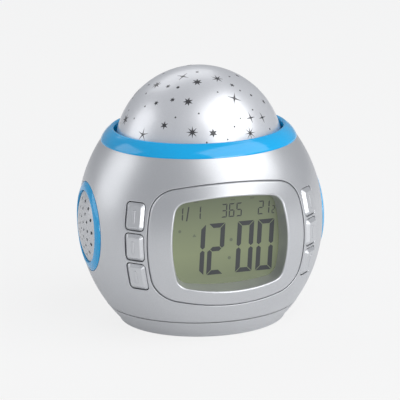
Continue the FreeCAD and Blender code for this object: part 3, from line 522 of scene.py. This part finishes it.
def body_shell():
    """Ball turned about the axis, unrolled to be cut: outer skin, inner skin, and edges."""
    skin = Skin()
    holes = body_holes()
    columns, rows, edge, top_edge, seam_gap = 144, 38, 0.45, 0.1, 0.25
    low, high = SEAM + seam_gap + edge, SHOULDER - top_edge
    hole_clear = 0.6
    turns = np.linspace(-math.pi, math.pi, columns + 1)
    heights = np.linspace(low, high, rows)
    around, up = np.meshgrid(turns * BALL_RADIUS, heights)
    grid = np.stack([around, up], -1)
    border = np.zeros(grid.shape[:2], bool)
    border[[0, -1]] = True
    border[:, [0, -1]] = True
    for inset, ring in ((0.0, 0), (WALL, -1)):
        loops = [hole.unrolled(hole.rings[ring][0]) for hole in holes]
        flat, faces, starts = web(grid[border], grid[~border], loops, hole_clear)
        angle, reach = flat[:, 0] / BALL_RADIUS, ball_reach(flat[:, 1], inset)
        points = np.stack([reach * np.sin(angle), -reach * np.cos(angle), flat[:, 1]], -1)
        for hole, numbers in zip(holes, starts):
            points[numbers] = hole.rings[ring][0]
        normals = ball_normal(points) * (1 if ring == 0 else -1)
        numbers = skin.add(points, normals)
        skin.faces.append(numbers[faces])
    for hole in holes:
        skin.strip(hole.rings)
    for height, down in ((low, -1), (high, 1)):
        turn = turns[:-1]
        spoke = np.stack([np.sin(turn), -np.cos(turn), np.zeros_like(turn)], -1)
        depth = edge if down < 0 else top_edge
        lift = np.array([0.0, 0.0, 1.0]) * down
        corner = spoke * ball_reach(height) + (0, 0, height + depth * down)
        outer = spoke * ball_reach(height) + (0, 0, height)
        rings = rounded_edge(corner, -lift, -spoke, ball_normal(outer), lift, depth)
        inner = spoke * ball_reach(height, WALL) + (0, 0, height + depth * down)
        foot = spoke * ball_reach(height, WALL) + (0, 0, height)
        skin.strip(rings + [(inner, lift)])
        skin.strip([(inner, -spoke), (foot, -spoke)])
    skin.make("housing_skin", silver, "silver_paint", replaces=["body_shell"])


def front_bezel():
    """Display surround: a loop of sections from its groove over the skin into the well."""
    skin = Skin()
    view = Outlook(0)
    outline, mouth, window = cushion(*SURROUND), cushion(*WELL_MOUTH), cushion(*WELL_WINDOW)
    mouth_front, window_front, floor_out = 57.5, 40.5, GLASS_FRONT + 0.05
    # The well's wall meets the ball's skin where this share settles.
    share = np.full((len(mouth), 1), 0.4)
    for _ in range(12):
        flat = mix(window, mouth, share)
        reach = np.sqrt(ball_reach(flat[:, 1]) ** 2 - flat[:, 0] ** 2)
        share = ((reach - window_front) / (mouth_front - window_front))[:, None]
    rim = mix(window, mouth, share)
    back_share = (floor_out - window_front) / (mouth_front - window_front)
    back = mix(window, mouth, back_share)
    bottom = view.at(back[:, 0], back[:, 1], floor_out)

    out_way = outline_normals(outline)
    edge, lip = 0.8, 0.9
    outer = view.on_ball(outline)
    inner_start = view.on_ball(outline - out_way * edge)
    wall_normal = view.way(out_way[:, 0], out_way[:, 1])
    first = rounded_edge(outer, (inner_start - outer) / edge, -view.out,
                         ball_normal(inner_start), wall_normal, edge)[::-1]
    foot = view.on_ball(outline, RECESS_DEPTH)

    rim_way = outline_normals(rim)
    corner = view.on_ball(rim)
    rim_start = view.on_ball(rim + rim_way * lip)
    down = unit(bottom - corner)
    along = np.roll(corner, -1, 0) - np.roll(corner, 1, 0)
    well_normal = unit(np.cross(down, along))
    inward = -view.way(rim_way[:, 0], rim_way[:, 1])
    well_normal *= np.sign((well_normal * inward).sum(1, keepdims=True))
    last = rounded_edge(corner, (rim_start - corner) / lip, down,
                        ball_normal(rim_start), well_normal, lip)

    flat_from, flat_to = outline - out_way * edge, rim + rim_way * lip
    band = [view.on_ball(mix(flat_from, flat_to, share)) for share in np.linspace(0, 1, 7)]
    skin.strip([(foot, wall_normal)] + first)
    skin.strip([(ring, ball_normal(ring)) for ring in band])
    skin.strip(last + [(bottom, well_normal)])
    behind = np.tile(-view.out, (len(foot), 1))
    skin.strip([(bottom, behind), (foot, behind)])
    skin.make("display_surround", silver, "silver_paint", replaces=["front_bezel"])


# Turned pieces
def turned(sections, frame_of, count):
    """Rings of a half section, given as (radius, height) points, turned about its axis.

    Each section is a run of points with one smooth normal; runs meet at sharp edges.
    """
    angle = np.arange(count) * math.tau / count
    skin = Skin()
    for section in sections:
        section = np.array(section, float)
        along = np.gradient(section, axis=0)
        normal = unit(np.stack([along[:, 1], -along[:, 0]], -1))
        rings = []
        for (radius, height), (side, up) in zip(section, normal):
            place = frame_of(radius * np.cos(angle), radius * np.sin(angle),
                             np.full(count, height))
            way = frame_of(side * np.cos(angle), side * np.sin(angle), np.full(count, up))
            rings.append((place, way - frame_of(*np.zeros((3, count)))))
        skin.strip(rings)
    return skin


def upright(x, y, z):
    """Turned about the object's own axis."""
    return np.stack([x, y, z], -1)


def sideways(sign):
    """Turned about the axis of the speakers; height is the distance out."""
    def frame_of(x, y, z):
        return np.stack([z * sign, x * sign, y + BALL_MIDDLE], -1)
    return frame_of


def run(start, end, radius=None, count=2):
    """Points from start to end, straight or on an arc that bulges to the right."""
    if radius is None:
        return np.linspace(start, end, count)
    if radius > 0:
        return np.vstack([arc_between(start, end, radius, count), [end]])
    return np.vstack([arc_between(end, start, -radius, count), [start]])[::-1]


def base_skin():
    """Skin of the base: the ball's arc, a rounded foot edge and a rounded seam edge."""
    proud, edge, seam_edge, wall, lift = 0.05, 1.4, 0.4, 1.2, 0.02
    heights = np.linspace(edge, SEAM - seam_edge, 12)
    side = np.stack([ball_reach(heights) + proud, heights], -1)
    seam_top = (ball_reach(SEAM) - seam_edge, SEAM)
    seam = run(side[-1], seam_top, seam_edge * 1.05, 5)
    sole = (side[0][0] - edge - 0.1, lift)
    foot = run(sole, side[0], edge * 1.1, 6)
    inner = [seam_top, (ball_reach(SEAM) - wall, SEAM), sole]
    shell = turned([np.vstack([foot[:-1], side, seam[1:]]), inner[:2], inner[1:]], upright, 144)
    shell.make("base_skin", silver, "silver_paint")


def collar_ring():
    """Blue collar: a sloping convex face, a rounded crest and an upright bore."""
    toe, brow, lip, bore_foot = (44.2, 83.5), (40.22, 88.24), (38.15, 87.55), (38.15, 80.5)
    seat_foot, seat_top, shoulder = (41.6, 80.5), (41.9, 82.9), (ball_reach(SHOULDER), 82.9)
    face = run(toe, brow, 12.0, 14)
    crest = run(brow, lip, 1.15, 12)
    sections = [[shoulder, toe], np.vstack([face[:-1], crest]), run(lip, bore_foot, None, 6),
                [bore_foot, seat_foot], [seat_foot, seat_top], [seat_top, shoulder]]
    ring = turned(sections, upright, 192)
    ring.make("collar", blue, "blue_gloss", replaces=["collar_ring"])


def star_dome():
    """Dome: an outer and an inner cap of a sphere, joined by a flat rim."""
    rim, count = DOME_RIM - DOME_MIDDLE, 192
    start = math.asin(rim / DOME_RADIUS)
    swing = np.linspace(start, math.pi / 2, 40)[:-1]
    outer = np.stack([DOME_RADIUS * np.cos(swing), DOME_MIDDLE + DOME_RADIUS * np.sin(swing)], -1)
    hollow = DOME_RADIUS - DOME_WALL
    start = math.asin(rim / hollow)
    swing = np.linspace(start, math.pi / 2, 30)[:-1]
    inner = np.stack([hollow * np.cos(swing), DOME_MIDDLE + hollow * np.sin(swing)], -1)[::-1]
    dome = turned([outer, inner, [inner[-1], outer[0]]], upright, count)
    for profile, radius, way in ((outer, DOME_RADIUS, 1), (inner, hollow, -1)):
        top = profile[-1] if way > 0 else profile[0]
        angle = np.arange(count) * math.tau / count
        ring = np.stack([top[0] * np.cos(angle), top[0] * np.sin(angle),
                         np.full(count, top[1])], -1)
        dome.cap(ring, (0, 0, DOME_MIDDLE + radius), (0, 0, way))
    dome.make("dome_shell", dome_silver, "dome_silver", "dome", ["star_dome"])


# Stars: bearing from the front, height above the horizon of the dome, size, points, depth
# of the notches between the points, turn
STAR_MARKS = (
    (-77, 57, 2.3, 7, 0.3, 0), (-56, 58, 1.2, 6, 0.35, 0), (-45, 70, 3.2, 4, 0.13, 8),
    (-16, 64, 2.2, 7, 0.34, 0), (19, 66, 2.7, 7, 0.2, 8), (32, 57, 1.1, 6, 0.35, 0),
    (22, 46, 3.3, 4, 0.14, 32), (59, 37, 1.3, 6, 0.35, 0), (-25, 46, 2.1, 7, 0.34, 10),
    (-41, 47, 1.2, 6, 0.35, 0), (-57, 43, 1.2, 6, 0.35, 0), (-42, 28, 1.8, 6, 0.3, 0),
    (-20, 24, 2.5, 8, 0.24, 0), (-5, 23, 1.8, 6, 0.36, 0), (29, 30, 2.5, 4, 0.14, 0),
    (42, 28, 2.5, 4, 0.14, 0), (24, 20, 2.9, 8, 0.16, 0), (-59, 20, 3.0, 5, 0.13, 0),
    (-87, 26, 2.6, 7, 0.26, 0), (-110, 44, 2.2, 7, 0.3, 0), (-118, 20, 2.4, 6, 0.3, 0),
    (-135, 56, 2.6, 4, 0.14, 20), (-140, 34, 2.3, 8, 0.26, 0), (-155, 20, 2.0, 6, 0.34, 10),
    (-170, 62, 2.2, 7, 0.32, 0), (-175, 40, 3.0, 4, 0.14, 0), (170, 18, 2.4, 6, 0.34, 0),
    (158, 50, 2.1, 6, 0.34, 15), (146, 27, 2.9, 4, 0.12, 30), (128, 42, 2.3, 8, 0.26, 0),
    (118, 62, 2.0, 6, 0.34, 0), (112, 22, 2.5, 6, 0.3, 0), (90, 44, 2.2, 7, 0.26, 0),
    (84, 22, 2.6, 4, 0.14, 0), (70, 62, 1.2, 6, 0.35, 0), (-165, 80, 1.3, 6, 0.35, 0),
)
# How much larger, and how much fuller between its points, each star is cut
STAR_GROWTH, STAR_FILLING = 1.1, 1.3
# Round windows: bearing, height, radius
DOT_MARKS = (
    (-41, 58, 0.75), (-16, 77, 0.7), (47, 65, 0.5), (46, 45, 0.65), (36, 51, 0.45), (7, 53, 0.4),
    (-80, 48, 0.45), (-68, 39, 0.45), (-74, 29, 0.4), (-15, 37, 0.42), (-34, 34, 0.42),
    (35, 35, 0.42), (19, 31, 0.38), (12, 26, 0.45), (5, 18, 0.4), (-10, 17, 0.4), (46, 19, 0.5),
)


def dome_point(bearing, height):
    """Unit direction on the dome from its bearing and height in degrees."""
    b, h = math.radians(bearing), math.radians(height)
    return np.array([math.sin(b) * math.cos(h), -math.cos(b) * math.cos(h), math.sin(h)])


def star_patch(skin, way, size, points, notch, turn, steps=5):
    """A star laid on the dome: rings that grow from its middle to its outline."""
    count = points * 2
    proud, edge_proud = 0.05, 0.01
    side = unit(np.cross([0.0, 0.0, 1.0], way))
    up = np.cross(way, side)
    angle = np.arange(count) * math.pi / points + math.radians(turn)
    reach = np.where(np.arange(count) % 2 == 0, size, size * notch)
    flat = np.stack([reach * np.sin(angle), reach * np.cos(angle)], -1)
    numbers = []
    for share in np.linspace(0, 1, steps + 1)[1:]:
        place = way * DOME_RADIUS + (flat[:, :1] * side + flat[:, 1:] * up) * share
        radial = unit(place)
        lift = DOME_RADIUS + (edge_proud if share == 1 else proud)
        numbers.append(skin.add(radial * lift + (0, 0, DOME_MIDDLE), radial))
    skin.quads(np.array(numbers))
    middle = skin.add(np.array([way * (DOME_RADIUS + proud) + (0, 0, DOME_MIDDLE)]), way)
    skin.faces.append(np.stack([numbers[0], np.roll(numbers[0], -1),
                                np.full(count, middle[0])], -1))


def round_window(skin, way, radius):
    """A round window is a star with hardly any notches."""
    star_patch(skin, way, radius, 7, 0.97, 0, 1)


def star_windows():
    """All star and round windows; behind the front ones, round ones follow a spiral."""
    skin = Skin()
    for bearing, height, size, points, notch, turn in STAR_MARKS:
        star_patch(skin, dome_point(bearing, height), size * STAR_GROWTH, points,
                   notch * STAR_FILLING, turn)
    for bearing, height, size in DOT_MARKS:
        round_window(skin, dome_point(bearing, height), size)
    taken = [(dome_point(*mark[:2]), mark[2]) for mark in STAR_MARKS + DOT_MARKS]
    spiral, golden, front, clear = 90, 180 * (3 - math.sqrt(5)), 85, 1.4
    for number in range(spiral):
        height = math.degrees(math.asin(mix(0.24, 0.97, (number + 0.5) / spiral)))
        bearing = (number * golden + 180) % 360 - 180
        way = dome_point(bearing, height)
        space = min(DOME_RADIUS * math.acos(min(1.0, float(way @ other))) - size
                    for other, size in taken)
        if abs(bearing) > front and space > clear:
            round_window(skin, way, 0.4 + 0.15 * (number % 3))
            taken.append((way, 2.0))
    skin.make("star_windows", star_dark, "dome_silver", "dome")


# Keys
# Row above or below the middle one, and how far the face leans back in degrees
KEY_SHAPES = {"upper": (1, 11.2), "middle": (0, -1.5), "lower": (-1, -13.8)}
# Key: half width, half height, corner radius, how far its face stands out of the ball
KEY_HALF_WIDE, KEY_HALF_HIGH, KEY_CORNER, KEY_PROUD = 4.7, 6.0, 1.7, 0.75
# Inset, depth below the face and lean of the normal, from the back to the face
KEY_SECTION = ((0, 6.5, 0), (0, 1.62, 0), (0.04, 1.48, 24), (0.14, 1.36, 45), (1.30, 0.20, 45),
               (1.44, 0.08, 66), (1.62, 0.0, 90), (2.3, 0.0, 90))


def key_cap(side, sign, row):
    """Key: its section, given as inset, depth and lean, carried round a rounded outline."""
    step, tilt = KEY_SHAPES[row]
    height = KEY_MIDDLE + KEY_PITCH * step
    view = Outlook(KEY_ANGLE * sign)
    slope = math.tan(math.radians(tilt))
    face_out = float(ball_reach(height)) + KEY_PROUD
    top = unit(view.out + np.array([0, 0, slope]))
    skin, rings = Skin(), []
    for inset, depth, lean in KEY_SECTION:
        corner = max(KEY_CORNER - inset * 0.75, 0.5)
        loop = panel(KEY_HALF_WIDE - inset, KEY_HALF_HIGH - inset, corner, 0)
        way = outline_normals(loop)
        out = face_out - slope * loop[:, 1] - depth
        place = view.at(loop[:, 0], loop[:, 1] + height, out)
        lean = math.radians(lean)
        rings.append((place, unit(view.way(way[:, 0], way[:, 1]) * math.cos(lean)
                                  + top * math.sin(lean))))
    skin.strip(rings)
    skin.cap(rings[-1][0], view.at(0.0, height, face_out), top)
    skin.cap(rings[0][0], view.at(0.0, height, face_out - KEY_SECTION[0][1]), -view.out)
    name = "%s_key_%s" % (side, row)
    skin.make(name + "_cap", key_silver, "key_silver", name, [name])
    key_mark(name, view, height, face_out, slope, top)


def key_mark(name, view, height, face_out, slope, top):
    """Plain raised bar on a key's face, so that a finger can find it."""
    skin, rings = Skin(), []
    half_wide, half_high, corner, rise = 0.75, 2.9, 0.4, 0.18
    for inset, lift, lean in ((0, -0.05, 0), (0, 0.06, 0), (0.12, 0.16, 45), (0.3, rise, 90)):
        loop = panel(half_wide - inset, half_high - inset, corner, 0)
        way = outline_normals(loop)
        out = face_out - slope * loop[:, 1] + lift
        lean = math.radians(lean)
        rings.append((view.at(loop[:, 0], loop[:, 1] + height, out),
                      unit(view.way(way[:, 0], way[:, 1]) * math.cos(lean)
                           + top * math.sin(lean))))
    skin.strip(rings)
    skin.cap(rings[-1][0], view.at(0.0, height, face_out + rise), top)
    skin.make(name + "_mark", key_silver, "key_silver", name)


# Speakers
def speaker_ring(side, sign):
    """Blue ring: an upright outside, a convex slope and a rounded inner lip."""
    outside, inside, spigot, mouth, crest = 20.2, 14.7, 17.8, 16.3, 16.8
    seat, back, ledge = SPEAKER_SEAT, SPEAKER_SEAT - 2.0, SPEAKER_SEAT + 1.2
    brow, top, lip_end = SPEAKER_SEAT + 2.0, SPEAKER_SEAT + 3.5, SPEAKER_SEAT + 3.1
    slope = run((outside, brow), (crest, top), 9.0, 14)
    lip = run((crest, top), (mouth, lip_end), 0.45, 8)
    sections = [
        [(spigot, back), (spigot, seat)], [(spigot, seat), (outside, seat)],
        [(outside, seat), (outside, brow)], np.vstack([slope[:-1], lip]),
        [(mouth, lip_end), (mouth, ledge)], [(mouth, ledge), (inside, ledge)],
        [(inside, ledge), (inside, back)], [(inside, back), (spigot, back)],
    ]
    ring = turned(sections, sideways(sign), 144)
    ring.make("%s_ring" % side, blue, "blue_gloss", replaces=["%s_speaker_ring" % side])


# Rings of holes: radius of the ring, number of holes, radius of a hole
GRILLE_HOLES = ((12.8, 14, 0.9), (9.2, 14, 0.78), (5.6, 10, 0.68), (2.2, 5, 0.6))


def speaker_grille(side, sign):
    """Domed plate, a cap of a sphere, with rings of holes whose edges are rounded."""
    apex, arc, rim, thick, edge, halfway, hole_clear = 56.3, 39.0, 16.1, 1.0, 0.14, 0.3, 0.15
    frame_of = sideways(sign)

    def cap(flat, inset=0.0):
        out = apex - arc + np.sqrt((arc - inset) ** 2 - (flat ** 2).sum(1))
        return frame_of(flat[:, 0], flat[:, 1], out)

    centre = frame_of(*np.array([[0.0], [0.0], [apex - arc]]))[0]
    skin = Skin()
    rings = [circle(radius, max(8, int(radius * 5)), 0, radius)
             for radius in np.arange(1.0, rim - 0.8, 1.5)]
    loops, walls = [], []
    for radius, count, size in GRILLE_HOLES:
        for angle in np.arange(count) * math.tau / count:
            middle = np.array([radius * math.cos(angle), radius * math.sin(angle)])
            loops.append(circle(size, 20) + middle)
            walls.append(circle(size - edge, 20) + middle)
    border = circle(rim, 120)
    loose = np.vstack(rings)
    for inset, holes, way in ((0.0, loops, 1), (thick, walls, -1)):
        flat, faces, _ = web(border, loose, holes, hole_clear)
        points = cap(flat, inset)
        numbers = skin.add(points, unit(points - centre) * way)
        skin.faces.append(numbers[faces])
    out = frame_of(*np.array([[0.0], [0.0], [1.0]]))[0] - frame_of(*np.zeros((3, 1)))[0]
    for loop, wall in zip(loops, walls):
        mouth, corner, foot = cap(loop), cap(wall), cap(wall, thick)
        inward = unit(corner - mouth)
        face = unit(mouth - centre)
        edge_ring = (corner - out * edge, inward)
        between = (corner - (out + inward) * edge * halfway, unit(face + inward))
        skin.strip([(mouth, face), between, edge_ring, (foot, inward)])
    top, foot = cap(border), cap(border, thick)
    away = unit(top - foot - out * ((top - foot) @ out)[:, None] + (top - centre) * 1e-3)
    skin.strip([(top, away), (foot, away)])
    skin.make("%s_grille" % side, silver, "silver_paint", replaces=["%s_speaker_grille" % side])


# Display marks
# Bars that are lit in each digit of the display
DIGIT_SEGMENTS = {"0": "abcdef", "1": "bc", "2": "abged", "3": "abgcd", "5": "afgcd", "6": "afgedc"}


def segment_shapes(wide, high, stroke, gap):
    """Seven bars of a digit, each a flat polygon with mitred ends."""
    middle, half = high / 2, stroke / 2
    w, h, s, g = wide, high, stroke, gap
    return {
        "a": [(g, h), (s + g, h - s), (w - s - g, h - s), (w - g, h)],
        "b": [(w, h - g), (w - s, h - s - g), (w - s, middle + half + g), (w - half, middle + g),
              (w, middle + half)],
        "c": [(w, g), (w, middle - half), (w - half, middle - g), (w - s, middle - half - g),
              (w - s, s + g)],
        "d": [(g, 0), (w - g, 0), (w - s - g, s), (s + g, s)],
        "e": [(0, g), (s, s + g), (s, middle - half - g), (half, middle - g), (0, middle - half)],
        "f": [(0, h - g), (0, middle + half), (half, middle + g), (s, middle + half + g),
              (s, h - s - g)],
        "g": [(half + g, middle), (s + g, middle - half), (w - s - g, middle - half),
              (w - half - g, middle), (w - s - g, middle + half), (s + g, middle + half)],
    }


def flat_mark(skin, outline, depth=0.04):
    """A flat polygon just in front of the glass, as a fan from its middle."""
    outline = np.array(outline, float)
    ring = np.stack([outline[:, 0], np.full(len(outline), -GLASS_FRONT - depth),
                     outline[:, 1]], -1)
    skin.cap(ring, ring.mean(0), (0, -1, 0))


def digit(skin, sign, x, z, wide, high, stroke, gap, lean):
    """One digit whose foot is at x, z; lean is its shift at the top."""
    for name in DIGIT_SEGMENTS[sign]:
        shape = np.array(segment_shapes(wide, high, stroke, gap)[name])
        shape[:, 0] += shape[:, 1] / high * lean
        flat_mark(skin, shape + (x, z))


# Signs of the time, of the small row above it and of its middle, each with the x of its foot
TIME_SIGNS = (("1", -18.2), ("2", -9.3), ("0", 4.0), ("0", 13.3))
ROW_SIGNS = (("1", -22.0), ("1", -13.9), ("2", 14.9), ("1", 17.6))
MIDDLE_SIGNS = (("3", -1.9), ("6", 1.5), ("5", 4.9))


def display_marks():
    """Time in large digits, a row of small numbers above, and faint dots between."""
    marks, faint = Skin(), Skin()
    time_foot, row_foot = 29.7, 55.2
    large = {"wide": 7.6, "high": 23.2, "stroke": 2.05, "gap": 0.22, "lean": 1.75}
    for sign, x in TIME_SIGNS:
        digit(marks, sign, x, time_foot, **large)
    small = {"wide": 2.6, "high": 6.2, "stroke": 0.55, "gap": 0.12, "lean": 0.45}
    for sign, x in ROW_SIGNS:
        digit(marks, sign, x, row_foot, **small)
    tiny = {"wide": 1.5, "high": 3.6, "stroke": 0.42, "gap": 0.1, "lean": 0.2}
    digit(marks, "2", 21.3, row_foot, **tiny)
    for sign, x in MIDDLE_SIGNS:
        digit(marks, sign, x, row_foot, **small)
    flat_mark(marks, [(-18.0, 55.0), (-17.4, 55.0), (-16.2, 61.4), (-16.8, 61.4)])
    for x, z in ((2.5, 44.9), (1.5, 36.7)):
        flat_mark(faint, circle(0.75, 16) + (x, z))
    flat_mark(faint, [(-15.2, 47.6), (-13.4, 47.6), (-14.3, 49.0)])
    flat_mark(faint, circle(0.7, 16) + (-20.9, 50.6))
    for x, z in ((-13.1, 63.3), (3.6, 63.0), (12.5, 63.0)):
        flat_mark(faint, panel(1.0, 0.32, 0.15, 0) + (x, z))
    marks.make("display_digits", display_mark, "display_glass")
    faint.make("display_faint_marks", display_faint, "display_glass")


# Room, lights and camera. Paper white is what the camera sees of floor and room.
PAPER_WHITE = (0.95, 0.95, 0.95, 1)
def floor():
    """Pale floor. It glows evenly for the camera, a little in mirrors, and keeps the shadow."""
    camera_share, mirror_share = 0.85, 0.2
    mesh = bpy.data.meshes.new("floor")
    half = 3.0
    mesh.from_pydata([(-half, -half, 0), (half, -half, 0), (half, half, 0), (-half, half, 0)],
                     [], [(0, 1, 2, 3)])
    obj = bpy.data.objects.new("floor", mesh)
    bpy.context.scene.collection.objects.link(obj)
    material = bpy.data.materials.new("floor_white")
    material.use_nodes = True
    tree = material.node_tree
    tree.nodes.clear()
    nodes, links = tree.nodes, tree.links
    output = nodes.new("ShaderNodeOutputMaterial")
    blend = nodes.new("ShaderNodeMixShader")
    matt = nodes.new("ShaderNodeBsdfDiffuse")
    matt.inputs["Color"].default_value = (0.82, 0.82, 0.82, 1)
    glow = nodes.new("ShaderNodeEmission")
    glow.inputs["Color"].default_value = PAPER_WHITE
    glow.inputs["Strength"].default_value = 1.0
    path = nodes.new("ShaderNodeLightPath")
    share = nodes.new("ShaderNodeMath")
    share.operation = "MULTIPLY"
    share.inputs[1].default_value = camera_share
    mirrored = nodes.new("ShaderNodeMath")
    mirrored.operation = "MULTIPLY_ADD"
    mirrored.inputs[1].default_value = mirror_share
    links.new(path.outputs["Is Camera Ray"], share.inputs[0])
    links.new(path.outputs["Is Glossy Ray"], mirrored.inputs[0])
    links.new(share.outputs[0], mirrored.inputs[2])
    links.new(mirrored.outputs[0], blend.inputs[0])
    links.new(matt.outputs[0], blend.inputs[1])
    links.new(glow.outputs[0], blend.inputs[2])
    links.new(blend.outputs[0], output.inputs[0])
    mesh.materials.append(material)


def room():
    """World: white for the camera, a soft grey studio for everything else."""
    world = bpy.data.worlds.new("studio")
    bpy.context.scene.world = world
    world.use_nodes = True
    tree = world.node_tree
    tree.nodes.clear()
    nodes, links = tree.nodes, tree.links
    output = nodes.new("ShaderNodeOutputWorld")
    seen = nodes.new("ShaderNodeBackground")
    seen.inputs["Color"].default_value = PAPER_WHITE
    light = nodes.new("ShaderNodeBackground")
    light.inputs["Color"].default_value = (0.37, 0.38, 0.40, 1)
    path = nodes.new("ShaderNodeLightPath")
    blend = nodes.new("ShaderNodeMixShader")
    links.new(path.outputs["Is Camera Ray"], blend.inputs[0])
    links.new(light.outputs[0], blend.inputs[1])
    links.new(seen.outputs[0], blend.inputs[2])
    links.new(blend.outputs[0], output.inputs[0])


# Name, place, point it looks at, width, height and power, in metres and watts
LAMPS = (
    ("key_light", (0.75, -0.80, 1.25), (0, 0, 0.06), 2.0, 1.6, 18),
    ("left_light", (-1.30, 0.60, 0.60), (0, 0, 0.06), 0.9, 1.1, 4),
    ("top_light", (0.0, 1.2, 1.2), (0, 0, 0.06), 1.3, 0.8, 2.5),
    ("front_light", (0.45, -1.30, 0.22), (0, 0, 0.03), 0.9, 0.4, 5),
)


def soft_box(name, place, aim, wide, high, power):
    """A rectangular lamp at a place, turned to a point."""
    data = bpy.data.lights.new(name, "AREA")
    data.shape = "RECTANGLE"
    data.size, data.size_y, data.energy = wide, high, power
    obj = bpy.data.objects.new(name, data)
    bpy.context.scene.collection.objects.link(obj)
    obj.location = place
    obj.rotation_mode = "QUATERNION"
    obj.rotation_quaternion = (Vector(aim) - Vector(place)).to_track_quat("-Z", "Y")


def camera():
    """Long lens, a little above and to the left of the front, slightly rolled."""
    azimuth, elevation, distance = math.radians(-15.5), math.radians(14.0), 1.25
    aim = Vector((0.0, 0.0, 0.0535))
    back = Vector((math.sin(azimuth) * math.cos(elevation),
                   -math.cos(azimuth) * math.cos(elevation), math.sin(elevation)))
    data = bpy.data.cameras.new("camera")
    data.sensor_width = 36.0
    pixels_per_metre, image = 2200.0, 400
    data.lens = pixels_per_metre * distance * data.sensor_width / image
    obj = bpy.data.objects.new("camera", data)
    bpy.context.scene.collection.objects.link(obj)
    obj.location = aim + back * distance
    obj.rotation_mode = "QUATERNION"
    roll = Quaternion((0, 0, 1), math.radians(-1.2))
    obj.rotation_quaternion = (-back).to_track_quat("-Z", "Y") @ roll
    data.clip_start, data.clip_end = 0.05, 20
    bpy.context.scene.camera = obj


dress_frame()
body_shell()
front_bezel()
base_skin()
collar_ring()
star_dome()
star_windows()
for side, sign in SIDES:
    for row in KEY_SHAPES:
        key_cap(side, sign, row)
    speaker_ring(side, sign)
    speaker_grille(side, sign)
display_marks()
floor()
room()
for lamp in LAMPS:
    soft_box(*lamp)
camera()
bpy.context.scene.view_settings.view_transform = "Standard"
